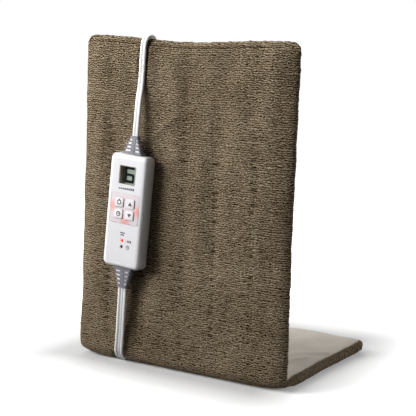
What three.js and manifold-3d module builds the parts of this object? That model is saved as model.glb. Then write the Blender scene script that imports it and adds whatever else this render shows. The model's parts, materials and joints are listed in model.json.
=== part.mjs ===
// Heating pad folded into an L, with its hand controller hung on the front.
// Millimetres, +Z up. X runs along the pad's width, the upright panel faces -Y and the flap
// lies on the floor behind it. The origin is the middle of the flap's resting face.
import * as THREE from "three";
import { mergeVertices } from "three/addons/utils/BufferGeometryUtils.js";
import Module from "manifold-3d";

// Pad
const PAD_WIDTH = 305;
const PANEL_LENGTH = 391; // fold axis to top edge
const FLAP_LENGTH = 195; // fold axis to rear edge
const FOLD_RADIUS = 15; // fold axis to the plush's outer face
const LEAN_DEG = 3.8; // the panel leans back
const CORNER_RADIUS = 11;
const EDGE_ROUND = 6;
const EDGE_WALL = 4; // plush wrapped round the edges
const DRAW_IN = 1.5; // sides pulled in between corners
const TOP_DIP = 5; // the top edge sags in the middle
const DIP_WAVES = 1.2; // waves of the sag across the width
const DIP_REACH = 6; // how fast the sag dies out below the top edge
const PLUSH_THICKNESS = 5;
const LINING_THICKNESS = 1.2;
const LINING_DEPTH = 2; // fold axis to the lining's bare face
const SHEET_THICKNESS = 0.8;
const SHEET_INSET = 4; // heater sheet's edge inside the plush sleeve
const PANEL_CROWN = 2;
const PANEL_LINING_CROWN = 1.5;
const FLAP_LINING_CROWN = 4;
const CHANNEL_COUNT = 6;
const CHANNEL_PITCH = 53.5;
const CHANNEL_OFFSET = 9;
const CHANNEL_DEPTH = 1.4;
const CHANNEL_HALF = 7;
const GAP = 0.3;

// Heating wire and what watches it
const WIRE_DIAMETER = 2;
const WIRE_RUNS = 6;
const WIRE_PITCH = 46;
const WIRE_MARGIN = 26;
const WIRE_BEND_STEPS = 7;
const SENSOR_DIAMETER = 8;
const SENSOR_HEIGHT = 1.8;

// Controller
const CASE_WIDTH = 56;
const CASE_HEIGHT = 140;
const CASE_DEPTH = 18;
const CASE_CORNER = 7;
const CASE_EDGE = 3;
const CASE_WALL = 2;
const PARTING = 8; // back face to the joint between the shells
const CASE_X = -67.6;
const CASE_ALONG = 178.6; // fold axis to the controller's middle
const CASE_TILT_DEG = 4;
const BOARD_SIDE = 9.75; // case side to board
const BOARD_END = 9; // case end to board
const BOARD_THICKNESS = 1.6;
const BOARD_CORNER = 2;
const BOARD_LIFT = 4.4; // rear shell's floor to the board
const STANDOFF_RADIUS = 3;
const STANDOFF_Y = 40;
const SCREW_SIDE = 5.5; // case side to screw
const SCREW_END = 8.5; // case end to screw
const SCREW_RADIUS = 1.4;
const SCREW_LENGTH = 10;
const SCREW_HEAD_RADIUS = 2.7;
const SCREW_HEAD_HEIGHT = 2;
const SCREW_SINK = 0.4; // head below the back face
const SCREW_SLOT_WIDTH = 0.8;
const SCREW_SLOT_DEPTH = 0.6;
const POST_RADIUS = 3.2;
const PAD_TERMINAL_END = 11; // case end to the pad lead's terminal
const MAINS_TERMINAL_END = 13; // case end to the mains lead's terminal
const MICROCONTROLLER_DROP = 21.7; // below the window's middle
const FUSE_RADIUS = 2.5;
const FUSE_LENGTH = 20;
const FUSE_X = -12;
const FUSE_Y = -45;

// Display
const WINDOW_WIDTH = 25;
const WINDOW_HEIGHT = 23;
const WINDOW_END = 25.3; // case end to the window's middle
const WINDOW_CORNER = 1.5;
const BEZEL_RIM = 1.2;
const BEZEL_SLOPE = 2.4;
const BEZEL_DEPTH = 4;
const LENS_THICKNESS = 1;
const LENS_INSET = 0.5;
const LCD_MARGIN = 0.8;
const LCD_THICKNESS = 2.2;
const LCD_CORNER = 0.5;

// Keypad
const KEYPAD_WIDTH = 43;
const KEYPAD_HEIGHT = 37;
const KEYPAD_Y = 3.5;
const KEYPAD_THICKNESS = 0.7;
const BUTTON_WIDTH = 13.2;
const BUTTON_HEIGHT = 12;
const BUTTON_CORNER = 2.2;
const BUTTON_EDGE = 0.5;
const BUTTON_PROUD = 1.1;
const BUTTON_PITCH_X = 16.5;
const BUTTON_PITCH_Y = 14.4;
const BUTTON_LIP = 0.8;
const BUTTON_LIP_HEIGHT = 1;
const BUTTON_STEM = 5;
const BUTTON_STEM_CORNER = 0.8;
const BUTTON_TRAVEL = 0.7;
const SWITCH_SIZE = 6;
const SWITCH_HEIGHT = 4.2;

// Lamps
const LAMP_RADIUS = 2;
const LAMP_FLANGE = 0.6;
const LAMP_FLANGE_HEIGHT = 1;
const LAMP_PROUD = 0.5;
const LAMP_HIGH_Y = -35.8;
const LAMP_LOW_Y = -43.4;

// Strain relief boots
const BOOT_DEPTH = 11;
const BOOT_TIP_DEPTH = 6;
const UPPER_BOOT_WIDTH = 31;
const UPPER_BOOT_TIP = 11.5;
const UPPER_BOOT_LENGTH = 22;
const LOWER_BOOT_WIDTH = 29;
const LOWER_BOOT_TIP = 15;
const LOWER_BOOT_LENGTH = 26;
const BOOT_SLOTS = 4;
const BOOT_SLOT_HEIGHT = 2;
const BOOT_SPINE = 8.4;
const NECK_WIDTH = 13;
const NECK_DEPTH = 6;
const NECK_FLANGE = 2;
const NECK_FLANGE_LENGTH = 1.6;

// Connector on the panel's back
const SOCKET_X = -63;
const SOCKET_ALONG = 236;
const SOCKET_WIDTH = 31;
const SOCKET_DEPTH = 12;
const SOCKET_HEIGHT = 36;
const SOCKET_CORNER = 3;
const MOUTH_WIDTH = 22.6;
const MOUTH_DEPTH = 7;
const MOUTH_HEIGHT = 13;
const MOUTH_CORNER = 1;
const PIN_RADIUS = 1;
const PIN_SPACING = 12;
const PIN_LENGTH = 9;
const SHANK_LENGTH = 12;
const GRIP_WIDTH = 28;
const GRIP_DEPTH = 11;
const GRIP_SHOULDER = 3;
const GRIP_LENGTH = 24;
const GRIP_TAPER = 22;
const TAPER_WALL = 1; // round the lead, where a taper ends

// Cords
const PAD_LEAD_WIDTH = 8.7;
const MAINS_LEAD_WIDTH = 12.5;
const LEAD_THICKNESS = 3.6;
const GROOVE_CLEARANCE = 0.4;
const TURN_ROOM_X = -88; // where the mains lead passes under the fold
const TURN_ROOM_SIDE = 1.2; // beside the lead, so that the flap can turn past it
const COIL_MEAN_RADIUS = 62.5;
const COIL_PITCH = 4.2; // each turn lies this far inside the last
const COIL_LAYER_GAP = 1;
const COIL_TURNS_PER_LAYER = 2;
const COIL_CLIMB_TURNS = 0.5;
const COIL_DIP = 5; // extra draw-in while the coil climbs a layer
const COIL_STEPS = 24;
const TIE_WIDTH = 10;
const TIE_THICKNESS = 0.5;
const TIE_SLACK = 1;
const TIE_CORNER = 1.5;
const PLUG_WIDTH = 26;
const PLUG_DEPTH = 16;
const PLUG_LENGTH = 32;
const PLUG_TAPER = 24;
const PLUG_SHOULDER = 3;
const PLUG_EDGE = 1.5;
const PLUG_CORNER = 5.5;
const BLADE_SPACING = 12.7;
const BLADE_THICKNESS = 1.5;
const BLADE_WIDTH = 6.3;
const BLADE_LENGTH = 17;
const BLADE_SEAT = 7;

// Routes: x across the pad, y behind the fold axis, z above the floor, then the twist in
// degrees, 0 where the cord lies flat and 90 where it stands on its edge.
const PAD_LEAD_ROUTE = [
  [-61.15, -7.3, 287.05, 0],
  [-60.4, -6.5, 298.5, 0],
  [-60.2, -4.7, 312, 0],
  [-60.3, -1.6, 328.5, 0],
  [-60.4, 2, 345, 0],
  [-60.2, 4.8, 362, 0],
  [-59.8, 6.2, 378, 0],
  [-59.4, 7.2, 388, 0],
  [-59.2, 7.8, 395, 0],
  [-59.1, 8.7, 400.5, 0],
  [-59, 12.5, 405.1, 0],
  [-58.9, 17.8, 407.2, 0],
  [-58.9, 23.2, 406.7, 0],
  [-59, 27.4, 403.3, 0],
  [-59.2, 29, 397.8, 0],
  [-59.6, 29.2, 389, 0],
  [-60.2, 29, 378, 0],
  [-61, 28.6, 364, 0],
  [-61.9, 28, 348, 0],
  [-62.6, 26.9, 331, 0],
  [-63, 25.75, 314.65, 0],
];
const MAINS_LEAD_ROUTE = [
  [-74.35, -19.8, 98.8, 0],
  [-75.4, -20.7, 85, 0],
  [-77.8, -21.4, 68, 0],
  [-80.8, -20.9, 52.5, 0],
  [-83.5, -19.9, 39, 0],
  [-85.6, -18.8, 28, 0],
  [-87.2, -17.2, 17, 0],
  [-88, -13, 9, 0],
  [-88.2, -6.25, 3.8, 0],
  [-88.2, -1.3, 2.25, 0],
  [-88.2, 4, 1.95, 0],
  [-88, 16, 1.95, 0],
  [-85.6, 40, 1.95, 0],
  [-82.6, 70, 1.95, 0],
  [-79.8, 100, 1.95, 0],
  [-77.3, 130, 1.95, 0],
  [-75, 160, 1.95, 0],
  [-73.4, 185, 1.95, 0],
  [-72.6, 200, 2.2, 6],
  [-72.2, 212, 3.2, 24],
  [-72, 224, 4.6, 45],
  [-72, 236, 6, 66],
  [-72, 248, 7, 84],
  [-72, 259.2, 7.2, 90],
];
const MAINS_TAIL_ROUTE = [
  [-205.4, 259.2, 20.7, 90],
  [-205.4, 248, 20.2, 84],
  [-205.4, 238, 18.6, 68],
  [-205.4, 228, 16.2, 45],
  [-205.4, 218, 13.2, 22],
  [-205.4, 208, 10.4, 6],
  [-205.4, 196, 8.6, 0],
  [-205.4, 184, 8.3, 0],
];
const COIL_START = [-72, 259.5, 7.2];

const LEAN = THREE.MathUtils.degToRad(LEAN_DEG);
const MITRE = (Math.PI / 2 + LEAN) / 2; // each leaf takes half of the fold
const HALF_WIDTH = PAD_WIDTH / 2;
const WINDOW_Y = CASE_HEIGHT / 2 - WINDOW_END;
const OVERCUT = 1; // how far cutters reach past a face
const OVERLAP = 0.01; // how far joined or cut shapes reach into each other

const wasm = await Module();
wasm.setup();

// Finishes
const finish = (color, roughness, metalness = 0) =>
  new THREE.MeshStandardMaterial({ color, roughness, metalness });
const PLUSH = finish("#776a59", 0.95);
const LINING = finish("#b9b1a6", 0.75);
const WADDING = finish("#e4e0d6", 0.98);
const FELT = finish("#cfc9bb", 0.95);
const WIRE = finish("#b3473a", 0.6);
const WHITE_SHELL = finish("#dedde2", 0.45);
const GREY_RUBBER = finish("#6d6d75", 0.7);
const WHITE_CORD = finish("#ececea", 0.55);
const CLEAR = finish("#d9e2dc", 0.08);
const LCD = finish("#9aa79a", 0.25);
const DARK_PLASTIC = finish("#3a3a3d", 0.5);
const BOARD = finish("#2f6b45", 0.5);
const STEEL = finish("#b9bcc0", 0.35, 1);
const BRASS = finish("#c9a85a", 0.3, 1);
const PINK_FILM = finish("#dcc0c4", 0.4);
const RED_LAMP = finish("#d8262c", 0.2);
const DARK_LAMP = finish("#5a1b20", 0.25);

// Solids in and out of the boolean library
function toSolid(geometry) {
  const bare = new THREE.BufferGeometry();
  bare.setAttribute("position", geometry.getAttribute("position").clone());
  bare.setIndex(geometry.index);
  const merged = mergeVertices(bare, 1e-4);
  const vertProperties = new Float32Array(merged.getAttribute("position").array);
  const triVerts = new Uint32Array(merged.index.array);
  return new wasm.Manifold(new wasm.Mesh({ numProp: 3, vertProperties, triVerts }));
}

function toGeometry(solid) {
  const result = solid.getMesh();
  const geometry = new THREE.BufferGeometry();
  geometry.setAttribute("position", new THREE.BufferAttribute(result.vertProperties, 3));
  geometry.setIndex(new THREE.BufferAttribute(result.triVerts, 1));
  geometry.computeVertexNormals();
  return geometry;
}

const join = (first, ...others) =>
  toGeometry(others.reduce((solid, other) => solid.add(toSolid(other)), toSolid(first)));
const cut = (first, ...others) =>
  toGeometry(others.reduce((solid, other) => solid.subtract(toSolid(other)), toSolid(first)));
const common = (first, second) => toGeometry(toSolid(first).intersect(toSolid(second)));

// Plain shapes
function roundedRect(width, height, radius) {
  const [w, h] = [width / 2, height / 2];
  const r = Math.min(radius, w, h);
  const shape = new THREE.Shape();
  shape.moveTo(r - w, -h);
  shape.lineTo(w - r, -h);
  shape.absarc(w - r, r - h, r, -Math.PI / 2, 0);
  shape.lineTo(w, h - r);
  shape.absarc(w - r, h - r, r, 0, Math.PI / 2);
  shape.lineTo(r - w, h);
  shape.absarc(r - w, h - r, r, Math.PI / 2, Math.PI);
  shape.lineTo(-w, r - h);
  shape.absarc(r - w, r - h, r, Math.PI, Math.PI * 1.5);
  return shape;
}

function plate(width, height, radius, low, high, x = 0, y = 0) {
  const options = { depth: high - low, bevelEnabled: false, curveSegments: 2 };
  return new THREE.ExtrudeGeometry(roundedRect(width, height, radius), options).translate(x, y, low);
}

function post(radius, low, high, x = 0, y = 0) {
  const geometry = new THREE.CylinderGeometry(radius, radius, high - low, 10);
  return geometry.rotateX(Math.PI / 2).translate(x, y, (low + high) / 2);
}

function block(width, height, depth, x = 0, y = 0, z = 0) {
  return new THREE.BoxGeometry(width, height, depth).translate(x, y, z);
}

// A block that tapers along +Y, from y = 0 to its length
function wedge(width, depth, endWidth, endDepth, length) {
  const geometry = new THREE.BoxGeometry(1, length, 1).translate(0, length / 2, 0);
  const at = geometry.getAttribute("position");
  for (let i = 0; i < at.count; i++) {
    const far = at.getY(i) > length / 2;
    at.setX(i, at.getX(i) * (far ? endWidth : width));
    at.setZ(i, at.getZ(i) * (far ? endDepth : depth));
  }
  return geometry;
}

// Sweeps a closed section along points; each side vector points along the section's width
function sweep(points, sides, section) {
  const count = section.length;
  const positions = [];
  points.forEach((point, i) => {
    const before = points[Math.max(i - 1, 0)];
    const after = points[Math.min(i + 1, points.length - 1)];
    const tangent = after.clone().sub(before).normalize();
    const side = sides[i].clone().addScaledVector(tangent, -sides[i].dot(tangent)).normalize();
    const normal = tangent.clone().cross(side);
    section.forEach(([u, v]) => {
      const corner = point.clone().addScaledVector(side, u).addScaledVector(normal, v);
      positions.push(corner.x, corner.y, corner.z);
    });
  });
  const faces = [];
  for (let i = 0; i < points.length - 1; i++) {
    for (let k = 0; k < count; k++) {
      const a = i * count + k;
      const b = i * count + ((k + 1) % count);
      faces.push(a, b, b + count, a, b + count, a + count);
    }
  }
  const last = (points.length - 1) * count;
  for (let k = 1; k < count - 1; k++) {
    faces.push(0, k + 1, k, last, last + k, last + k + 1);
  }
  return closedMesh(positions, faces);
}

// A closed mesh whose faces point out, whichever way they were listed
function closedMesh(positions, faces) {
  const geometry = new THREE.BufferGeometry();
  geometry.setAttribute("position", new THREE.Float32BufferAttribute(positions, 3));
  const corner = (i) => new THREE.Vector3().fromArray(positions, 3 * i);
  let volume = 0;
  for (let i = 0; i < faces.length; i += 3) {
    volume += corner(faces[i]).dot(corner(faces[i + 1]).cross(corner(faces[i + 2])));
  }
  geometry.setIndex(volume > 0 ? faces : faces.toReversed());
  geometry.computeVertexNormals();
  return geometry;
}

const circle = (radius, count) =>
  Array.from({ length: count }, (_, k) => {
    const angle = (2 * Math.PI * k) / count;
    return [radius * Math.cos(angle), radius * Math.sin(angle)];
  });

// A flat cord's section, as wide as asked for and with blunt edges
function flatSection(width, thickness, grow = 0) {
  const [w, t] = [width / 2 + grow, thickness / 2 + grow];
  const blunt = thickness / 4;
  return [
    [w, t - blunt], [w - blunt, t], [blunt - w, t], [-w, t - blunt],
    [-w, blunt - t], [blunt - w, -t], [w - blunt, -t], [w, blunt - t],
  ];
}

// Pad leaves. Along runs from the fold axis to the free edge, out from the axis to the plush.
const PANEL = {
  length: PANEL_LENGTH,
  dip: TOP_DIP,
  crown: PANEL_CROWN,
  channels: CHANNEL_DEPTH,
  liningCrown: PANEL_LINING_CROWN,
  place: (x, along, out) => [x, -out, along],
};
const FLAP = {
  length: FLAP_LENGTH,
  dip: 0,
  crown: 0,
  channels: 0,
  liningCrown: FLAP_LINING_CROWN,
  place: (x, along, out) => [x, along, -out],
};
const ARC_STEPS = 4;
const STRAIGHT_STEPS = 7;
const SHEET_STEPS = 2;
const CORNER_STEPS = 3;
const PLUSH_INNER = FOLD_RADIUS - PLUSH_THICKNESS;
const SHEET_OUTER = PLUSH_INNER - GAP;
const SHEET_INNER = SHEET_OUTER - SHEET_THICKNESS;
const WIRE_OUT = SHEET_INNER - GAP - WIRE_DIAMETER / 2;
const WADDING_OUTER = WIRE_OUT - WIRE_DIAMETER / 2 - GAP;
const INNER_INSET = EDGE_WALL + GAP;
const CAVITY_MOUTH = 0.5;
const CHANNELS = Array.from(
  { length: CHANNEL_COUNT },
  (_, i) => CHANNEL_OFFSET + CHANNEL_PITCH * (i - (CHANNEL_COUNT - 1) / 2),
);

function swell(leaf, x, along) {
  const part = THREE.MathUtils.clamp(along / leaf.length, 0, 1);
  return (1 - Math.abs(x / HALF_WIDTH) ** 4) * Math.sin(Math.PI * part);
}

const topSag = (leaf, x, part) =>
  (leaf.dip / 2) * (1 + Math.cos((2 * Math.PI * DIP_WAVES * x) / PAD_WIDTH)) * part ** DIP_REACH;
const edgeFall = (distance) =>
  distance >= EDGE_ROUND ? 0 : EDGE_ROUND - Math.sqrt(EDGE_ROUND ** 2 - (EDGE_ROUND - distance) ** 2);

function channel(leaf, x, along) {
  const nearest = Math.min(...CHANNELS.map((line) => Math.abs(x - line)));
  const fade = THREE.MathUtils.smoothstep(along, 0, leaf.length / 8);
  return leaf.channels * fade * Math.max(0, 1 - nearest / CHANNEL_HALF);
}

function leafColumns() {
  const reach = HALF_WIDTH;
  const edges = [0, EDGE_ROUND / 4, EDGE_ROUND].flatMap((d) => [d - reach, reach - d]);
  const lines = CHANNELS.flatMap((line) => [line - CHANNEL_HALF, line, line + CHANNEL_HALF]);
  const inside = lines.filter((x) => Math.abs(x) < reach - EDGE_ROUND - 1);
  return [...edges, ...inside].sort((a, b) => a - b).map((x) => x / reach);
}

function leafRows(leaf, inset, steps) {
  const length = leaf.length - inset;
  const corner = Math.max(CORNER_RADIUS - inset, EDGE_ROUND);
  const rows = [];
  for (let i = 0; i < ARC_STEPS; i++) {
    rows.push({ turn: 1 - i / ARC_STEPS, along: 0, pull: 0 });
  }
  for (let i = 0; i <= steps; i++) {
    rows.push({ turn: 0, along: ((length - corner) * i) / steps, pull: 0 });
  }
  for (let i = 1; i <= CORNER_STEPS; i++) {
    const angle = (Math.PI / 2) * (i / CORNER_STEPS);
    const along = length - corner * (1 - Math.sin(angle));
    rows.push({ turn: 0, along, pull: corner * (1 - Math.cos(angle)) });
  }
  return rows;
}

// A layer of one leaf between two depths, from its mitred end at the fold to its free edge
function layer(leaf, { inset, inner, outer, overrun = 0, columns, steps = STRAIGHT_STEPS }) {
  const rows = leafRows(leaf, inset, steps);
  const length = leaf.length - inset;
  const positions = [];
  [outer, inner].forEach((depth) => {
    rows.forEach(({ turn, along, pull }) => {
      const half = HALF_WIDTH - inset - pull - DRAW_IN * Math.sin((Math.PI * along) / length);
      columns.forEach((t) => {
        const x = t * half;
        const edge = Math.min(half - Math.abs(x), length - along);
        const out = depth(x, along, edge);
        const angle = turn * (MITRE - Math.asin(Math.min(GAP / 2 / out, 1)) + overrun);
        const place = turn > 0
          ? leaf.place(x, -out * Math.sin(angle), out * Math.cos(angle))
          : leaf.place(x, along - topSag(leaf, x, along / length), out);
        positions.push(...place);
      });
    });
  });
  const across = columns.length;
  const sheet = rows.length * across;
  const faces = [];
  const quad = (a, b, c, d) => faces.push(a, b, c, a, c, d);
  for (let i = 0; i < rows.length - 1; i++) {
    for (let k = 0; k < across - 1; k++) {
      const a = i * across + k;
      quad(a, a + 1, a + across + 1, a + across);
      quad(sheet + a, sheet + a + across, sheet + a + across + 1, sheet + a + 1);
    }
    const right = i * across + across - 1;
    quad(right, right + sheet, right + sheet + across, right + across);
    const left = i * across;
    quad(left + across, left + across + sheet, left + sheet, left);
  }
  for (let k = 0; k < across - 1; k++) {
    quad(k, k + sheet, k + 1 + sheet, k + 1);
    const top = (rows.length - 1) * across + k;
    quad(top + 1, top + 1 + sheet, top + sheet, top);
  }
  return closedMesh(positions, faces);
}

const INNER_COLUMNS = [-1, -0.7, -0.35, 0, 0.35, 0.7, 1];
const SHEET_COLUMNS = [-1, 0, 1];
const liningFace = (leaf) => (x, along) => LINING_DEPTH - leaf.liningCrown * swell(leaf, x, along);

// Plush sleeve: it covers the outer face and wraps the edges, open towards the lining
function plushCover(leaf, ...grooves) {
  const outer = (x, along, edge) =>
    FOLD_RADIUS + leaf.crown * swell(leaf, x, along) - channel(leaf, x, along) - edgeFall(edge);
  const pillow = layer(leaf, { inset: 0, inner: () => LINING_DEPTH, outer, columns: leafColumns() });
  const hollow = layer(leaf, {
    inset: EDGE_WALL,
    inner: () => CAVITY_MOUTH,
    outer: () => PLUSH_INNER,
    overrun: 0.2,
    columns: INNER_COLUMNS,
  });
  return cut(pillow, hollow, ...grooves);
}

function lining(leaf) {
  const face = liningFace(leaf);
  return layer(leaf, {
    inset: INNER_INSET,
    inner: face,
    outer: (x, along) => face(x, along) + LINING_THICKNESS,
    columns: INNER_COLUMNS,
  });
}

function wadding(leaf) {
  const face = liningFace(leaf);
  return layer(leaf, {
    inset: INNER_INSET,
    inner: (x, along) => face(x, along) + LINING_THICKNESS + GAP,
    outer: () => WADDING_OUTER,
    columns: INNER_COLUMNS,
  });
}

function heaterSheet(leaf) {
  return layer(leaf, {
    inset: EDGE_WALL + SHEET_INSET,
    inner: () => SHEET_INNER,
    outer: () => SHEET_OUTER,
    columns: SHEET_COLUMNS,
    steps: SHEET_STEPS,
  });
}

// Heating wire: one unbroken serpentine with round bends at both ends of its runs
function heatingWire(leaf) {
  const bend = WIRE_PITCH / 2;
  const low = WIRE_MARGIN + bend;
  const high = leaf.length - WIRE_MARGIN - bend;
  const route = [];
  for (let run = 0; run < WIRE_RUNS; run++) {
    const x = WIRE_PITCH * (run - (WIRE_RUNS - 1) / 2);
    const rising = run % 2 === 0;
    route.push([x, rising ? low : high], [x, rising ? high : low]);
    const steps = run < WIRE_RUNS - 1 ? WIRE_BEND_STEPS : 0;
    for (let i = 1; i < steps; i++) {
      const angle = (Math.PI * i) / steps;
      const lift = bend * Math.sin(angle);
      route.push([x + bend * (1 - Math.cos(angle)), rising ? high + lift : low - lift]);
    }
  }
  const points = route.map(([x, along]) => new THREE.Vector3(...leaf.place(x, along, WIRE_OUT)));
  const across = new THREE.Vector3(...leaf.place(0, 0, 1));
  return sweep(points, points.map(() => across), circle(WIRE_DIAMETER / 2, 6));
}

function sensorDisc(leaf, x, along) {
  const disc = new THREE.CylinderGeometry(SENSOR_DIAMETER / 2, SENSOR_DIAMETER / 2, SENSOR_HEIGHT, 14);
  return disc.translate(...leaf.place(x, along, WIRE_OUT));
}

// Cords
const routeSides = (route) =>
  route.map(([, , , twist]) => {
    const angle = THREE.MathUtils.degToRad(twist);
    return new THREE.Vector3(Math.cos(angle), 0, Math.sin(angle));
  });
const routePoints = (route) => route.map(([x, y, z]) => new THREE.Vector3(x, y, z));

function lead(route, width, grow = 0) {
  return sweep(routePoints(route), routeSides(route), flatSection(width, LEAD_THICKNESS, grow));
}

// Room in the flap's rounded end, so that it can turn about the fold axis past the mains lead
function turnRoom(width) {
  const inner = FOLD_RADIUS - LEAD_THICKNESS - 2 * GROOVE_CLEARANCE;
  const outer = FOLD_RADIUS + OVERCUT;
  const ring = cut(
    new THREE.CylinderGeometry(outer, outer, width, 24),
    new THREE.CylinderGeometry(inner, inner, width + OVERCUT, 24),
  ).rotateZ(Math.PI / 2);
  const front = block(2 * width, 2 * outer, 2 * outer, 0, -outer, -outer);
  return common(ring, front).translate(TURN_ROOM_X, 0, 0);
}

// Coil of the spare mains lead: it stands on its edge, spirals in on the floor, climbs a layer
// in the half turn where the spiral reverses and spirals out again on top
function coilPath() {
  const outerRadius = COIL_MEAN_RADIUS + (COIL_PITCH * COIL_TURNS_PER_LAYER) / 2;
  const turns = 2 * COIL_TURNS_PER_LAYER + COIL_CLIMB_TURNS;
  const [startX, startY, low] = COIL_START;
  const centreX = startX - outerRadius;
  const centreY = startY + MAINS_LEAD_WIDTH;
  const rise = MAINS_LEAD_WIDTH + COIL_LAYER_GAP;
  const points = [new THREE.Vector3(startX, startY, low)];
  for (let i = 0; i <= turns * COIL_STEPS; i++) {
    const turn = i / COIL_STEPS;
    const inward = Math.min(turn, turns - turn);
    const climb = THREE.MathUtils.clamp((turn - COIL_TURNS_PER_LAYER) / COIL_CLIMB_TURNS, 0, 1);
    const radius = outerRadius - COIL_PITCH * inward - COIL_DIP * Math.sin(Math.PI * climb) ** 2;
    const angle = 2 * Math.PI * turn;
    const height = low + rise * THREE.MathUtils.smoothstep(climb, 0, 1);
    points.push(new THREE.Vector3(
      centreX + radius * Math.cos(angle),
      centreY + radius * Math.sin(angle),
      height,
    ));
  }
  const last = points.at(-1);
  points.push(new THREE.Vector3(last.x, last.y - MAINS_LEAD_WIDTH, last.z));
  return { points, centreX, centreY, low, rise, outerRadius };
}

// Least gap between parts of the coil that are more than a third of a turn apart along it
function leastGap(geometry, count) {
  const at = geometry.getAttribute("position");
  const corner = (i) => new THREE.Vector3().fromBufferAttribute(at, i);
  let least = Infinity;
  for (let i = 0; i < at.count; i++) {
    for (let k = i + (COIL_STEPS / 3) * count; k < at.count; k++) {
      least = Math.min(least, corner(i).distanceTo(corner(k)));
    }
  }
  return least;
}

function coilSection() {
  const [w, t] = [MAINS_LEAD_WIDTH / 2, LEAD_THICKNESS / 2];
  return [[w, 0], [w - t, t], [t - w, t], [-w, 0], [t - w, -t], [w - t, -t]];
}

// Band round the coil's bundle, where all its turns lie level, at the side nearest the pad
function cordTie(coil) {
  const nearest = coil.outerRadius - 0.75 * COIL_PITCH;
  const innermost = nearest - COIL_PITCH * (COIL_TURNS_PER_LAYER - 1) - LEAD_THICKNESS / 2 - TIE_SLACK;
  const outermost = nearest + LEAD_THICKNESS / 2 + TIE_SLACK;
  const bottom = coil.low - MAINS_LEAD_WIDTH / 2 - GAP;
  const top = coil.low + coil.rise + MAINS_LEAD_WIDTH / 2 + GAP;
  const [width, height] = [outermost - innermost, top - bottom];
  const band = roundedRect(width + 2 * TIE_THICKNESS, height + 2 * TIE_THICKNESS, TIE_CORNER);
  band.holes.push(roundedRect(width, height, TIE_CORNER - TIE_THICKNESS));
  const options = { depth: TIE_WIDTH, bevelEnabled: false, curveSegments: 2 };
  return new THREE.ExtrudeGeometry(band, options)
    .translate(0, 0, -TIE_WIDTH / 2)
    .rotateY(Math.PI / 2)
    .rotateX(Math.PI / 2)
    .translate(coil.centreX, coil.centreY - (innermost + outermost) / 2, (bottom + top) / 2);
}

// Controller pieces, seen from the front: x right, y up, z out from the pad
const FACE_INNER = CASE_DEPTH - CASE_WALL;
const BOARD_LOW = CASE_WALL + BOARD_LIFT;
const BOARD_TOP = BOARD_LOW + BOARD_THICKNESS;
const ON_BOARD = BOARD_TOP + GAP;
const SWITCH_TOP = ON_BOARD + SWITCH_HEIGHT;
const BUTTON_LOW = SWITCH_TOP + BUTTON_TRAVEL + GAP;
const LIP_TOP = FACE_INNER - GAP;
const KEYPAD_FLOOR = CASE_DEPTH - KEYPAD_THICKNESS - GAP;
const BEZEL_LOW = CASE_DEPTH - GAP - BEZEL_DEPTH;
const LENS_LOW = BEZEL_LOW - GAP - LENS_THICKNESS;
const LCD_LOW = LENS_LOW - GAP - LCD_THICKNESS;
const NECK_Z = PARTING;
const buttonSpots = {
  button_power: [-0.5, 0.5],
  button_warmer: [0.5, 0.5],
  button_timer: [-0.5, -0.5],
  button_cooler: [0.5, -0.5],
};
const buttonPlace = ([i, k]) => [i * BUTTON_PITCH_X, KEYPAD_Y + k * BUTTON_PITCH_Y];
const screwX = CASE_WIDTH / 2 - SCREW_SIDE;
const screwY = CASE_HEIGHT / 2 - SCREW_END;
const screwSpots = [[-1, -1], [1, -1], [-1, 1], [1, 1]].map(([i, k]) => [i * screwX, k * screwY]);
const padTerminalY = CASE_HEIGHT / 2 - PAD_TERMINAL_END;
const mainsTerminalY = MAINS_TERMINAL_END - CASE_HEIGHT / 2;

// Blocks soldered to the board: width, height and depth, then the middle's x and y
const boardParts = {
  microcontroller: { size: [10, 10, 1.6], at: [0, WINDOW_Y - MICROCONTROLLER_DROP], material: DARK_PLASTIC },
  triac: { size: [10, 15, 4.6], at: [-10, -22], material: DARK_PLASTIC },
  capacitor: { size: [8, 16, 6.4], at: [8, -22], material: PINK_FILM },
  terminal_pad_lead: { size: [16, 3, 4], at: [0, padTerminalY], material: DARK_PLASTIC },
  terminal_mains: { size: [16, 5, 4], at: [0, mainsTerminalY], material: DARK_PLASTIC },
};

function caseSolid() {
  const inside = 2 * CASE_EDGE;
  const outline = roundedRect(CASE_WIDTH - inside, CASE_HEIGHT - inside, CASE_CORNER - CASE_EDGE);
  const options = {
    depth: CASE_DEPTH - inside,
    bevelThickness: CASE_EDGE,
    bevelSize: CASE_EDGE,
    bevelSegments: 2,
    curveSegments: 4,
  };
  return new THREE.ExtrudeGeometry(outline, options).translate(0, 0, CASE_EDGE);
}

function caseHollow() {
  const walls = 2 * CASE_WALL;
  const corner = CASE_CORNER - CASE_WALL;
  return plate(CASE_WIDTH - walls, CASE_HEIGHT - walls, corner, CASE_WALL, FACE_INNER);
}

const neckHoles = () =>
  [1, -1].map((end) => block(
    NECK_WIDTH + 2 * GAP, 4 * CASE_WALL, NECK_DEPTH + 2 * GAP,
    0, end * (CASE_HEIGHT / 2 - CASE_WALL), NECK_Z,
  ));

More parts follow.
